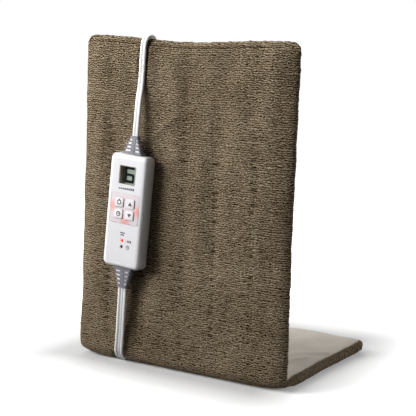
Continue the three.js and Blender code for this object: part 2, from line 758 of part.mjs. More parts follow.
function frontShell() {
  const slab = block(2 * CASE_WIDTH, 2 * CASE_HEIGHT, CASE_DEPTH, 0, 0, PARTING + (GAP + CASE_DEPTH) / 2);
  const above = CASE_DEPTH + OVERCUT;
  const window = plate(WINDOW_WIDTH, WINDOW_HEIGHT, WINDOW_CORNER, LCD_LOW, above, 0, WINDOW_Y);
  const [width, height] = [KEYPAD_WIDTH + 2 * GAP, KEYPAD_HEIGHT + 2 * GAP];
  const pocket = plate(width, height, BUTTON_CORNER, KEYPAD_FLOOR, above, 0, KEYPAD_Y);
  const lamps = [LAMP_HIGH_Y, LAMP_LOW_Y].map((y) => post(LAMP_RADIUS + GAP, PARTING, above, 0, y));
  const shell = cut(
    common(caseSolid(), slab), caseHollow(), window, pocket, ...lamps, ...buttonHoles(), ...neckHoles(),
  );
  const rooted = FACE_INNER + CASE_WALL / 2;
  const posts = screwSpots.map(([x, y]) => post(POST_RADIUS, PARTING + GAP, rooted, x, y));
  const tip = SCREW_SINK + SCREW_LENGTH + SCREW_HEAD_HEIGHT + GAP;
  const pilots = screwSpots.map(([x, y]) => post(SCREW_RADIUS + GAP, PARTING, tip, x, y));
  return cut(join(shell, ...posts), ...pilots);
}

function buttonHoles() {
  return Object.values(buttonSpots).map((spot) => {
    const [x, y] = buttonPlace(spot);
    const [width, height] = [BUTTON_WIDTH + 2 * GAP, BUTTON_HEIGHT + 2 * GAP];
    return plate(width, height, BUTTON_CORNER + GAP, PARTING, CASE_DEPTH + OVERCUT, x, y);
  });
}

function rearShell() {
  const slab = block(2 * CASE_WIDTH, 2 * CASE_HEIGHT, CASE_DEPTH, 0, 0, PARTING - (GAP + CASE_DEPTH) / 2);
  const shell = cut(common(caseSolid(), slab), caseHollow(), ...neckHoles());
  const bosses = screwSpots.map(([x, y]) => post(POST_RADIUS, CASE_WALL / 2, PARTING - GAP, x, y));
  const standoffs = [-1, 1].map((end) => post(
    STANDOFF_RADIUS, CASE_WALL / 2, BOARD_LOW - GAP, 0, end * STANDOFF_Y,
  ));
  const holes = screwSpots.map(([x, y]) => post(SCREW_RADIUS + GAP, -OVERCUT, CASE_DEPTH, x, y));
  const sinks = screwSpots.map(([x, y]) => post(
    SCREW_HEAD_RADIUS + GAP, -OVERCUT, SCREW_SINK + SCREW_HEAD_HEIGHT + GAP, x, y,
  ));
  return cut(join(shell, ...bosses, ...standoffs), ...holes, ...sinks);
}

function screw() {
  const profile = [
    [0, 0], [SCREW_HEAD_RADIUS, 0], [SCREW_HEAD_RADIUS, SCREW_HEAD_HEIGHT],
    [SCREW_RADIUS, SCREW_HEAD_HEIGHT], [SCREW_RADIUS, SCREW_HEAD_HEIGHT + SCREW_LENGTH - SCREW_RADIUS],
    [0, SCREW_HEAD_HEIGHT + SCREW_LENGTH],
  ].map(([r, h]) => new THREE.Vector2(r, h));
  const slot = block(2 * SCREW_HEAD_RADIUS + OVERCUT, SCREW_SLOT_WIDTH, 2 * SCREW_SLOT_DEPTH);
  return cut(new THREE.LatheGeometry(profile, 12).rotateX(Math.PI / 2), slot);
}

function button(spot) {
  const [x, y] = buttonPlace(spot);
  const options = {
    depth: CASE_DEPTH + BUTTON_PROUD - LIP_TOP,
    bevelThickness: BUTTON_EDGE,
    bevelSize: BUTTON_EDGE,
    bevelSegments: 1,
    curveSegments: 2,
  };
  const rim = 2 * BUTTON_EDGE;
  const outline = roundedRect(BUTTON_WIDTH - rim, BUTTON_HEIGHT - rim, BUTTON_CORNER - BUTTON_EDGE);
  const cap = new THREE.ExtrudeGeometry(outline, options).translate(x, y, LIP_TOP - BUTTON_EDGE);
  const lip = 2 * BUTTON_LIP;
  const low = LIP_TOP - BUTTON_LIP_HEIGHT;
  const flange = plate(BUTTON_WIDTH + lip, BUTTON_HEIGHT + lip, BUTTON_CORNER, low, LIP_TOP, x, y);
  const root = LIP_TOP - BUTTON_LIP_HEIGHT / 2;
  const stem = plate(BUTTON_STEM, BUTTON_STEM, BUTTON_STEM_CORNER, BUTTON_LOW, root, x, y);
  return join(cap, flange, stem);
}

function displayBezel() {
  const [width, height] = [WINDOW_WIDTH - 2 * GAP, WINDOW_HEIGHT - 2 * GAP];
  const front = CASE_DEPTH - GAP;
  const body = plate(width, height, WINDOW_CORNER, BEZEL_LOW, front, 0, WINDOW_Y);
  const rim = 2 * BEZEL_RIM;
  const slope = 2 * BEZEL_SLOPE;
  const opening = wedge(width - rim - slope, height - rim - slope, width - rim, height - rim, BEZEL_DEPTH)
    .rotateX(Math.PI / 2)
    .translate(0, WINDOW_Y, BEZEL_LOW);
  const past = OVERCUT / 2 - OVERLAP;
  const mouth = block(width - rim, height - rim, OVERCUT, 0, WINDOW_Y, front + past);
  const throat = block(width - rim - slope, height - rim - slope, OVERCUT, 0, WINDOW_Y, BEZEL_LOW - past);
  return cut(body, opening, mouth, throat);
}

function lamp(y) {
  const low = ON_BOARD;
  const high = CASE_DEPTH + LAMP_PROUD;
  const profile = [
    [0, low], [LAMP_RADIUS + LAMP_FLANGE, low], [LAMP_RADIUS + LAMP_FLANGE, low + LAMP_FLANGE_HEIGHT],
    [LAMP_RADIUS, low + LAMP_FLANGE_HEIGHT], [LAMP_RADIUS, high - LAMP_RADIUS / 2],
    [LAMP_RADIUS * 0.7, high - LAMP_RADIUS * 0.15], [0, high],
  ].map(([r, h]) => new THREE.Vector2(r, h));
  return new THREE.LatheGeometry(profile, 14).rotateX(Math.PI / 2).translate(0, y, 0);
}

// Boot: a flared flat body with open ribs on both sides of a spine, its neck held by the case
function boot(width, tip, length) {
  const body = wedge(width, BOOT_DEPTH, tip, BOOT_TIP_DEPTH, length);
  const pitch = length / (BOOT_SLOTS + 1);
  const slots = [];
  for (let i = 1; i <= BOOT_SLOTS; i++) {
    for (const side of [-1, 1]) {
      const middle = side * (BOOT_SPINE / 2 + width / 2);
      slots.push(block(width, BOOT_SLOT_HEIGHT, 2 * BOOT_DEPTH, middle, i * pitch, 0));
    }
  }
  const neckLength = CASE_WALL + 3 * GAP + NECK_FLANGE_LENGTH;
  const neck = block(NECK_WIDTH, neckLength, NECK_DEPTH, 0, 0.5 - neckLength / 2, 0);
  const flangeY = -CASE_WALL - 2 * GAP - NECK_FLANGE_LENGTH / 2;
  const flange = block(
    NECK_WIDTH + 2 * NECK_FLANGE, NECK_FLANGE_LENGTH, NECK_DEPTH + NECK_FLANGE, 0, flangeY, 0,
  );
  return join(cut(body, ...slots), neck, flange).translate(0, CASE_HEIGHT / 2 + GAP, NECK_Z);
}

// Connector pieces, in the panel's frame
const SEAT = PANEL_LINING_CROWN - LINING_DEPTH + GAP;
const SOCKET_Y = SEAT + SOCKET_DEPTH / 2;
const MOUTH_TOP = SOCKET_ALONG + SOCKET_HEIGHT / 2;
const MOUTH_FLOOR = MOUTH_TOP - MOUTH_HEIGHT;

function upright(width, depth, low, high, radius) {
  const options = { depth: high - low, bevelEnabled: false, curveSegments: 3 };
  const geometry = new THREE.ExtrudeGeometry(roundedRect(width, depth, radius), options);
  return geometry.translate(SOCKET_X, SOCKET_Y, low);
}

function padSocket() {
  const low = SOCKET_ALONG - SOCKET_HEIGHT / 2;
  const body = upright(SOCKET_WIDTH, SOCKET_DEPTH, low, MOUTH_TOP, SOCKET_CORNER);
  return cut(body, upright(MOUTH_WIDTH, MOUTH_DEPTH, MOUTH_FLOOR, MOUTH_TOP + OVERCUT, MOUTH_CORNER));
}

const pinSpots = [-PIN_SPACING / 2, PIN_SPACING / 2].map((x) => SOCKET_X + x);
const socketPin = (x) => post(PIN_RADIUS, MOUTH_FLOOR + GAP, MOUTH_FLOOR + GAP + PIN_LENGTH, x, SOCKET_Y);

function padPlug() {
  const base = MOUTH_TOP + GAP;
  const [width, depth] = [MOUTH_WIDTH - 2 * GAP, MOUTH_DEPTH - 2 * GAP];
  const shank = upright(width, depth, base - SHANK_LENGTH, base + OVERLAP, MOUTH_CORNER);
  const grip = upright(GRIP_WIDTH, GRIP_DEPTH, base, base + GRIP_LENGTH, SOCKET_CORNER);
  const rim = 2 * TAPER_WALL;
  const taper = wedge(
    GRIP_WIDTH - 2 * GRIP_SHOULDER, GRIP_DEPTH - TAPER_WALL,
    PAD_LEAD_WIDTH + rim, LEAD_THICKNESS + rim, GRIP_TAPER,
  )
    .rotateX(Math.PI / 2)
    .translate(SOCKET_X, SOCKET_Y, base + GRIP_LENGTH - OVERLAP);
  const bores = pinSpots.map((x) => post(
    PIN_RADIUS + GAP, base - SHANK_LENGTH - OVERCUT, MOUTH_FLOOR + PIN_LENGTH + 2 * GAP, x, SOCKET_Y,
  ));
  return cut(join(shank, grip, taper), ...bores);
}

// Mains plug, flat on the floor at the end of the tail
function mainsPlug(x, front, z) {
  const rim = 2 * TAPER_WALL;
  const edges = 2 * PLUG_EDGE;
  const taper = wedge(
    PLUG_WIDTH - 2 * PLUG_SHOULDER, PLUG_DEPTH - edges,
    MAINS_LEAD_WIDTH + rim, LEAD_THICKNESS + rim, PLUG_TAPER,
  ).translate(x, front - PLUG_TAPER, z);
  const options = {
    depth: PLUG_DEPTH - edges,
    bevelThickness: PLUG_EDGE,
    bevelSize: PLUG_EDGE,
    bevelSegments: 2,
    curveSegments: 4,
  };
  const outline = roundedRect(PLUG_WIDTH - edges, PLUG_LENGTH + OVERLAP - edges, PLUG_CORNER - PLUG_EDGE);
  const face = front - PLUG_TAPER - PLUG_LENGTH;
  const body = new THREE.ExtrudeGeometry(outline, options)
    .translate(x, face + (PLUG_LENGTH + OVERLAP) / 2, z - PLUG_DEPTH / 2 + PLUG_EDGE);
  const slots = [-1, 1].map((side) => block(
    BLADE_THICKNESS + 2 * GAP, 2 * (BLADE_SEAT + GAP), BLADE_WIDTH + 2 * GAP,
    x + (side * BLADE_SPACING) / 2, face, z,
  ));
  const blades = [-1, 1].map((side) => block(
    BLADE_THICKNESS, BLADE_LENGTH + BLADE_SEAT, BLADE_WIDTH,
    x + (side * BLADE_SPACING) / 2, face + (BLADE_SEAT - BLADE_LENGTH) / 2, z,
  ));
  return { body: cut(join(body, taper), ...slots), blades };
}

// Assembly
const mesh = (name, geometry, material) => {
  const piece = new THREE.Mesh(geometry, material);
  piece.name = name;
  return piece;
};

const heatingPad = new THREE.Group();
heatingPad.position.set(0, -FLAP_LENGTH / 2, FOLD_RADIUS);
const panel = new THREE.Group();
panel.rotation.x = -LEAN;
const flap = new THREE.Group();
const floor = new THREE.Group();
floor.position.z = -FOLD_RADIUS;
heatingPad.add(panel, flap, floor);

const grooveWidth = MAINS_LEAD_WIDTH + 2 * TURN_ROOM_SIDE;
const groove = lead(MAINS_LEAD_ROUTE, grooveWidth, GROOVE_CLEARANCE).translate(0, 0, -FOLD_RADIUS);
for (const [group, leaf, name, grooves] of [
  [panel, PANEL, "panel", [groove.clone().rotateX(LEAN)]],
  [flap, FLAP, "flap", [groove, turnRoom(grooveWidth)]],
]) {
  group.add(
    mesh(`plush_${name}`, plushCover(leaf, ...grooves), PLUSH),
    mesh(`heater_sheet_${name}`, heaterSheet(leaf), FELT),
    mesh(`heating_wire_${name}`, heatingWire(leaf), WIRE),
    mesh(`wadding_${name}`, wadding(leaf), WADDING),
    mesh(`lining_${name}`, lining(leaf), LINING),
  );
}
panel.add(
  mesh("thermal_cutout", sensorDisc(PANEL, 0, PANEL_LENGTH / 2), STEEL),
  mesh("heat_sensor", sensorDisc(PANEL, WIRE_PITCH, PANEL_LENGTH / 3), DARK_PLASTIC),
  mesh("pad_socket", padSocket(), GREY_RUBBER),
  mesh("socket_pin_left", socketPin(pinSpots[0]), BRASS),
  mesh("socket_pin_right", socketPin(pinSpots[1]), BRASS),
  mesh("pad_plug", padPlug(), GREY_RUBBER),
);

const controller = new THREE.Group();
controller.position.set(CASE_X, -(FOLD_RADIUS + PANEL_CROWN + GAP), CASE_ALONG);
controller.rotation.set(Math.PI / 2, 0, -THREE.MathUtils.degToRad(CASE_TILT_DEG));
panel.add(controller);

function lcdPlate(low, high) {
  const margin = 2 * LCD_MARGIN;
  return plate(WINDOW_WIDTH + margin, WINDOW_HEIGHT + margin, LCD_CORNER, low, high, 0, WINDOW_Y);
}

const lens = plate(
  WINDOW_WIDTH - 2 * LENS_INSET, WINDOW_HEIGHT - 2 * LENS_INSET, WINDOW_CORNER,
  LENS_LOW, BEZEL_LOW - GAP, 0, WINDOW_Y,
);
const [boardWidth, boardHeight] = [CASE_WIDTH - 2 * BOARD_SIDE, CASE_HEIGHT - 2 * BOARD_END];
const board = plate(boardWidth, boardHeight, BOARD_CORNER, BOARD_LOW, BOARD_TOP);
const fuse = new THREE.CylinderGeometry(FUSE_RADIUS, FUSE_RADIUS, FUSE_LENGTH, 12);
const keypad = cut(
  plate(KEYPAD_WIDTH, KEYPAD_HEIGHT, BUTTON_CORNER, CASE_DEPTH - KEYPAD_THICKNESS, CASE_DEPTH, 0, KEYPAD_Y),
  ...buttonHoles(),
);
controller.add(
  mesh("case_front", frontShell(), WHITE_SHELL),
  mesh("case_rear", rearShell(), WHITE_SHELL),
  mesh("keypad_film", keypad, PINK_FILM),
  mesh("display_bezel", displayBezel(), WHITE_SHELL),
  mesh("display_lens", lens, CLEAR),
  mesh("lcd_glass", lcdPlate(LCD_LOW, LENS_LOW - GAP), LCD),
  mesh("lcd_light_guide", lcdPlate(ON_BOARD, LCD_LOW - GAP), CLEAR),
  mesh("circuit_board", board, BOARD),
  mesh("lamp_on", lamp(LAMP_HIGH_Y), RED_LAMP),
  mesh("lamp_timer", lamp(LAMP_LOW_Y), DARK_LAMP),
  mesh("fuse", fuse.translate(FUSE_X, FUSE_Y, ON_BOARD + FUSE_RADIUS), CLEAR),
  mesh("boot_upper", boot(UPPER_BOOT_WIDTH, UPPER_BOOT_TIP, UPPER_BOOT_LENGTH), GREY_RUBBER),
  mesh(
    "boot_lower",
    boot(LOWER_BOOT_WIDTH, LOWER_BOOT_TIP, LOWER_BOOT_LENGTH).rotateZ(Math.PI),
    GREY_RUBBER,
  ),
);
for (const [name, { size, at, material }] of Object.entries(boardParts)) {
  controller.add(mesh(name, block(...size, ...at, ON_BOARD + size[2] / 2), material));
}
for (const [name, spot] of Object.entries(buttonSpots)) {
  const [x, y] = buttonPlace(spot);
  const body = block(SWITCH_SIZE, SWITCH_SIZE, SWITCH_HEIGHT, x, y, ON_BOARD + SWITCH_HEIGHT / 2);
  controller.add(
    mesh(name, button(spot), WHITE_SHELL),
    mesh(name.replace("button", "switch"), body, DARK_PLASTIC),
  );
}
screwSpots.forEach(([x, y], i) => {
  controller.add(mesh(`case_screw_${i + 1}`, screw().translate(x, y, SCREW_SINK), STEEL));
});

const coil = coilPath();
const coilTube = sweep(coil.points, coil.points.map(() => new THREE.Vector3(0, 0, 1)), coilSection());
console.log(`mains_coil least gap ${leastGap(coilTube, coilSection().length).toFixed(2)} mm`);
const [tailX, tailEnd, tailZ] = MAINS_TAIL_ROUTE.at(-1);
const plug = mainsPlug(tailX, tailEnd - GAP, tailZ);
floor.add(
  mesh("pad_lead", lead(PAD_LEAD_ROUTE, PAD_LEAD_WIDTH), WHITE_CORD),
  mesh("mains_lead", lead(MAINS_LEAD_ROUTE, MAINS_LEAD_WIDTH), WHITE_CORD),
  mesh("mains_coil", coilTube, WHITE_CORD),
  mesh("mains_tail", lead(MAINS_TAIL_ROUTE, MAINS_LEAD_WIDTH), WHITE_CORD),
  mesh("cord_tie", cordTie(coil), DARK_PLASTIC),
  mesh("mains_plug", plug.body, WHITE_SHELL),
  mesh("plug_blade_left", plug.blades[0], BRASS),
  mesh("plug_blade_right", plug.blades[1], BRASS),
);

export default heatingPad;
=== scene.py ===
"""Folded heating pad with its hand controller, dressed for rendering.

Lengths in the classes are millimetres. The pad is drawn unfolded, across (x), along (q) and
outwards from the fold's axis (r), and is then laid round the fold. The controller is drawn in its
own frame, x to the right, y up and z out of its face. Meshes are written in metres.
"""

import itertools
import json
import logging
import math
from dataclasses import dataclass
from enum import Enum
from typing import Iterable, Sequence

import bmesh
import bpy
import numpy as np
from mathutils import Matrix, Vector, noise


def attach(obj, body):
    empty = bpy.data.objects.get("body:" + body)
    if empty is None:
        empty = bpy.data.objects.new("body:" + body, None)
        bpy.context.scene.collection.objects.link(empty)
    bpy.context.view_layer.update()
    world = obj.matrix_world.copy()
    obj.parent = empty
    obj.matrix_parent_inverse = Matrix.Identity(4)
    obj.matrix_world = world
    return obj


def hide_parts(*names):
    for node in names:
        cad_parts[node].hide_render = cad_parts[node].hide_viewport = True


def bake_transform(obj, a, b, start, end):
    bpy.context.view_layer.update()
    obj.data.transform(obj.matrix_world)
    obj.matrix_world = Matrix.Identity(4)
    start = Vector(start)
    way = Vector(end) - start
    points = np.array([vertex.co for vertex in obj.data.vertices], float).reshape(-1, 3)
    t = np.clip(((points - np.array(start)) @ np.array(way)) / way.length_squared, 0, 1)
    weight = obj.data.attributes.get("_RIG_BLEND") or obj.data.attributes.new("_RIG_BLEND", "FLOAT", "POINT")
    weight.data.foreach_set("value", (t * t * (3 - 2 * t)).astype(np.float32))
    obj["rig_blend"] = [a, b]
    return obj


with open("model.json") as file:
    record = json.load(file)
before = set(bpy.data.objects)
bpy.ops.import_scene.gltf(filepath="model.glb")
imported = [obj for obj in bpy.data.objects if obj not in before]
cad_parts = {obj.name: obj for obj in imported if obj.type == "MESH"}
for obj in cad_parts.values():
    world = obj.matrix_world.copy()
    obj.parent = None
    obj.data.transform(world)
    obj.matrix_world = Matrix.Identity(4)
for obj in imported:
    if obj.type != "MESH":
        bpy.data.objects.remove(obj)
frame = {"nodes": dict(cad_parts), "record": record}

log = logging.getLogger("heating_pad")

Shape = bmesh.types.BMesh
Piece = bpy.types.Object
Paint = bpy.types.Material
Tree = bpy.types.NodeTree
Socket = bpy.types.NodeSocket
Pair = tuple[float, float]
Point = tuple[float, float, float]
Fold = tuple[float, float, float, float, float, float]
Row = np.ndarray

MM = 0.001
FOLD_LINE_Y = -97.5  # the fold's line, from the middle of the floor that the pad covers
FOLD_RADIUS = 15.0  # from the fold's axis to the outside of the cover
LEAN = math.radians(3.8)  # of the panel, backwards
WAVE = 0.314  # a wave texture's scale times the length of its waves
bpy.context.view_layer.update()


class Body(str, Enum):
    """The bodies that pieces move with."""

    PANEL = "panel"
    FLAP = "flap"
    POWER = "power_key"
    WARMER = "warmer_key"
    TIMER = "timer_key"
    COOLER = "cooler_key"


class Slot(str, Enum):
    """The record's finishes."""

    PLUSH = "plush"
    LINING = "lining"
    SHELL = "white_shell"
    RUBBER = "grey_rubber"
    CORD = "white_cord"
    LCD = "lcd"
    DARK = "dark_plastic"
    FILM = "keypad_film"
    RED_LAMP = "red_lamp"
    DARK_LAMP = "dark_lamp"


def linear(colour: str) -> tuple[float, float, float, float]:
    """Turn a colour into the numbers that shaders use.

    Args:
        colour: sRGB hex value, such as "#776a59".

    Returns:
        Linear red, green, blue and an alpha of 1.
    """
    parts = [int(colour[i : i + 2], 16) / 255 for i in (1, 3, 5)]
    red, green, blue = (c / 12.92 if c <= 0.04045 else ((c + 0.055) / 1.055) ** 2.4 for c in parts)
    return red, green, blue, 1.0


def feed(node: bpy.types.Node, inputs: dict) -> None:
    """Give a node its values and links.

    Args:
        node: A shader node.
        inputs: Values or output sockets by input name or number.
    """
    for name, value in inputs.items():
        if isinstance(value, Socket):
            node.id_data.links.new(value, node.inputs[name])
        else:
            node.inputs[name].default_value = value


def add_node(
    tree: Tree, kind: str, inputs: dict | None = None, out: int | str = 0, **settings: object
) -> Socket:
    """Add a shader node.

    Args:
        tree: The material's or world's nodes.
        kind: Node type without its "ShaderNode" prefix.
        inputs: Values or output sockets by input name or number.
        out: The output that is wanted.
        settings: The node's own properties.

    Returns:
        That output.
    """
    node = tree.nodes.new("ShaderNode" + kind)
    for name, value in settings.items():
        setattr(node, name, value)
    feed(node, inputs or {})
    return node.outputs[out]


def remap(tree: Tree, value: Socket, span: Pair, to: Pair = (0.0, 1.0), **kind: str) -> Socket:
    """Stretch a span of values onto another."""
    ends = {1: span[0], 2: span[1], 3: to[0], 4: to[1]}
    return add_node(tree, "MapRange", {0: value, **ends}, **kind)


def mixed(tree: Tree, share: Socket, first: Socket | str, second: str) -> Socket:
    """Mix a colour, given as a socket or a hex value, with another."""
    first = linear(first) if isinstance(first, str) else first
    return add_node(tree, "Mix", {0: share, 6: first, 7: linear(second)}, 2, data_type="RGBA")


def summed(tree: Tree, value: Socket, share: float, rest: Socket) -> Socket:
    """Add a share of one value to another."""
    return add_node(tree, "Math", {0: value, 1: share, 2: rest}, operation="MULTIPLY_ADD")


def speckle(tree: Tree, place: Socket, size: float, detail: float) -> Socket:
    """Noise whose lumps have a size in millimetres."""
    return add_node(tree, "TexNoise", {"Vector": place, "Scale": 1 / (size * MM), "Detail": detail})


def bump(tree: Tree, height: Socket, depth: float, strength: float = 1.0) -> Socket:
    """Relief with a depth in millimetres."""
    return add_node(tree, "Bump", {"Height": height, "Distance": depth * MM, "Strength": strength})


@dataclass(frozen=True)
class Finish:
    """A moulded or cast surface: two close shades in a fine grain, with the grain in its gloss."""

    name: str
    colour: str
    shade: str
    grain: float  # mm
    roughness: float = 0.5
    relief: float = 0.02  # mm
    spread: float = 0.08  # of the roughness, over the grain
    metallic: float = 0.0
    ior: float = 1.5
    alpha: float = 1.0
    glow: float = 0.0

    def material(self) -> Paint:
        """Make the material.

        Returns:
            A new node material.
        """
        made = bpy.data.materials.new(self.name)
        made.use_nodes = True
        shader = made.node_tree.nodes["Principled BSDF"]
        feed(shader, {"Metallic": self.metallic, "IOR": self.ior, "Alpha": self.alpha})
        if self.glow:
            feed(shader, {"Emission Color": linear(self.colour), "Emission Strength": self.glow})
        self.surface(made.node_tree, shader)
        return made

    def surface(self, tree: Tree, shader: bpy.types.Node) -> None:
        """Draw the grain in colour, gloss and relief.

        Args:
            tree: The material's nodes.
            shader: Its Principled shader.
        """
        place = add_node(tree, "TexCoord", out="Object")
        grain = speckle(tree, place, self.grain, 3.0)
        blotch = speckle(tree, place, 18 * self.grain, 2.0)
        both, span = add_node(tree, "Math", {0: grain, 1: blotch}, operation="ADD"), (0.7, 1.3)
        gloss = (max(0.02, self.roughness - self.spread), min(1.0, self.roughness + self.spread))
        feed(shader, {
            "Base Color": mixed(tree, remap(tree, both, span), self.colour, self.shade),
            "Roughness": remap(tree, both, span, gloss),
            "Normal": bump(tree, grain, self.relief),
        })


@dataclass(frozen=True)
class PlushFinish(Finish):
    """Raised polyester nap: painted shade where the tufts part, a pale and soft painted highlight on their
    tips.
    """

    # painted highlight on the tufts' tips, paler than the nap's own colour
    tip_highlight: str = "#b8a890"
    tuft: Point = (2.2, 2.4, 1.4)  # mm; across, out and along
    row: float = 2.7  # mm; from one row of tufts to the next
    stray: float = 8.0  # radians; how far the rows wander

    def surface(self, tree: Tree, shader: bpy.types.Node) -> None:
        """Paint shade into the nap's low places and a highlight onto its crests, by its own height, and
        break it up with tufts.

        Args:
            tree: The material's nodes.
            shader: Its Principled shader.
        """
        place = add_node(tree, "Attribute", out="Vector", attribute_name="cloth")
        nap_shade = add_node(tree, "Attribute", out="Fac", attribute_name="nap_shade")
        lines = {
            "Vector": place, "Scale": WAVE / (self.row * MM), "Distortion": self.stray,
            "Detail": 3.0, "Detail Scale": 1.6,
        }
        rows = add_node(tree, "TexWave", lines, "Fac", bands_direction="Z")
        scale = [1 / (s * MM) for s in self.tuft]
        fine = add_node(tree, "Mapping", {"Vector": place, "Scale": scale})
        tufts = add_node(tree, "TexNoise", {"Vector": fine, "Scale": 1.0, "Detail": 3.0})
        broad = speckle(tree, place, self.grain, 3.0)
        gaps = add_node(tree, "Math", {0: rows, 1: 0.5}, operation="POWER")
        height = summed(tree, gaps, 0.45, tufts)
        nap = summed(tree, nap_shade, 0.35, summed(tree, broad, 0.2, height))
        # painted shade: the deep shade colour where the nap lies low; painted highlight: the tip colour on
        # its crests
        dark = mixed(tree, remap(tree, nap, (0.84, 1.08)), self.shade, self.colour)
        feed(shader, {
            "Base Color": mixed(tree, remap(tree, nap, (1.08, 1.36)), dark, self.tip_highlight),
            "Normal": bump(tree, height, self.relief),
            "Roughness": self.roughness, "Sheen Weight": 0.06, "Sheen Tint": linear(self.tip_highlight),
            "Sheen Roughness": 0.5, "Specular IOR Level": 0.1,
        })


@dataclass(frozen=True)
class LiningFinish(Finish):
    """Warp-knitted polyester lining: fine ribs, close to smooth, with a slight silky sheen."""

    rib: float = 1.5  # mm; the real ribs are half as far apart, too fine for the picture

    def surface(self, tree: Tree, shader: bpy.types.Node) -> None:
        """Draw the ribs and the cloth's slow changes of shade.

        Args:
            tree: The material's nodes.
            shader: Its Principled shader.
        """
        place = add_node(tree, "TexCoord", out="Object")
        lines = {"Vector": place, "Scale": WAVE / (self.rib * MM), "Distortion": 0.6}
        ribs = add_node(tree, "TexWave", lines, "Fac", bands_direction="X")
        share = remap(tree, speckle(tree, place, self.grain, 4.0), (0.35, 0.65))
        feed(shader, {
            "Base Color": mixed(tree, share, self.colour, self.shade),
            "Normal": bump(tree, ribs, self.relief, 0.6),
            "Roughness": self.roughness, "Sheen Weight": 0.2, "Sheen Roughness": 0.4,
        })


@dataclass(frozen=True)
class CordFinish(Finish):
    """Extruded soft PVC: glossy and white, with painted shade down in the grooves between the cores."""

    # painted shade down in the grooves
    groove: str = "#9c9ca3"

    def surface(self, tree: Tree, shader: bpy.types.Node) -> None:
        """Paint shade into the grooves.

        Args:
            tree: The material's nodes.
            shader: Its Principled shader.
        """
        super().surface(tree, shader)
        deep = add_node(tree, "Attribute", out="Fac", attribute_name="groove")
        plain = shader.inputs["Base Color"].links[0].from_socket
        feed(shader, {"Base Color": mixed(tree, deep, plain, self.groove)})


@dataclass(frozen=True)
class FilmFinish(Finish):
    """Translucent keypad film: pale pink, with a painted salmon glow where lamps behind it would shine
    through.
    """

    painted_glow: str = "#f59a8e"
    lamps: tuple[Point, ...] = ()  # m, in the world
    reach: float = 11.0  # mm

    def surface(self, tree: Tree, shader: bpy.types.Node) -> None:
        """Paint a warm glow onto the film round each lamp.

        Args:
            tree: The material's nodes.
            shader: Its Principled shader.
        """
        super().surface(tree, shader)
        place = add_node(tree, "TexCoord", out="Object")
        colour = shader.inputs["Base Color"].links[0].from_socket
        ends, soft = ((0.0, self.reach * MM), (0.85, 0.0)), {"interpolation_type": "SMOOTHSTEP"}
        for lamp in self.lamps:
            away = add_node(tree, "VectorMath", {0: place, 1: lamp}, "Value", operation="DISTANCE")
            colour = mixed(tree, remap(tree, away, *ends, **soft), colour, self.painted_glow)
        feed(shader, {"Base Color": colour})


# By the record's material slot, then those that only the scene has. After the name come both
# shades, the grain, the roughness and the relief.
FINISHES: dict[str, Finish] = {
    # its near-black second colour is the painted shade in the nap's gaps
    "plush": PlushFinish("brushed_polyester_plush", "#746249", "#140b01", 45, 0.95, 1.5),
    "lining": LiningFinish("warp_knit_lining", "#d8cfc2", "#cbc1b3", 30, 0.62, 0.08),
    "felt": Finish("needled_felt_white", "#dad6cc", "#c6c1b5", 1.4, 0.95, 0.25),
    "heating_wire": Finish("silicone_heating_wire", "#d8695a", "#c45a4d", 1.5),
    "white_shell": Finish("moulded_abs_white", "#f8f7f9", "#f1f0f3", 0.9, 0.42),
    "grey_rubber": Finish("moulded_pvc_grey", "#75757d", "#6b6b73", 0.8, 0.55, 0.03),
    "white_cord": CordFinish("extruded_pvc_white", "#f1f1f0", "#e9e9e9", 1.5, 0.38),
    "clear": Finish(
        "cast_acrylic_clear", "#8f9694", "#868d8b", 3, 0.08, 0.005, 0.02, ior=1.2, alpha=0.03
    ),
    "lcd": Finish("lcd_glass_green_grey", "#a3afa2", "#99a698", 2.5, 0.35, 0.01),
    "dark_plastic": Finish("moulded_abs_black", "#232326", "#1b1b1e", 0.9),
    "board": Finish("glass_epoxy_green", "#2f6a45", "#28593b", 1.2, 0.45),
    "steel": Finish("zinc_plated_steel", "#b9bbbf", "#a4a6aa", 0.7, 0.3, 0.01, metallic=1.0),
    "brass": Finish("nickel_plated_brass", "#cfc7ae", "#bfb597", 0.9, 0.26, 0.01, metallic=1.0),
    "red_lamp": Finish("lamp_lens_red_lit", "#ff3a22", "#ff5a3c", 1.2, 0.25, 0.01, glow=0.8),
    "dark_lamp": Finish("lamp_lens_maroon", "#5a1d20", "#4a161a", 1.2, 0.25, 0.01),
    # the white shell's plastic, darker as painted shade on the window's sloped walls
    "bezel": Finish("moulded_abs_bezel_painted_shade", "#bdb3a6", "#b3a99b", 0.9),
    "label": Finish("printed_label_white", "#f1f0f3", "#eae9ed", 1.1, 0.35, 0.01),
    "button": Finish("moulded_silicone_white", "#f3eef0", "#ebe5e8", 0.8),
    "print": Finish("printed_ink_black", "#17171c", "#101014", 0.6, 0.6, 0.01),
    "digit": Finish("lcd_segment_black", "#0c0f10", "#090b0c", 1.0, 0.6, 0.01, ior=1.1),
}
SAME_FINISH = {"wadding": "felt", "keypad_film": "button"}


def loose(bm: Shape, name: str) -> Piece:
    """Turn a shape into an object.

    Args:
        bm: The shape; it is freed.
        name: The object's name.

    Returns:
        The new object, at the origin.
    """
    mesh = bpy.data.meshes.new(name)
    bm.to_mesh(mesh)
    bm.free()
    made = bpy.data.objects.new(name, mesh)
    bpy.context.scene.collection.objects.link(made)
    return made


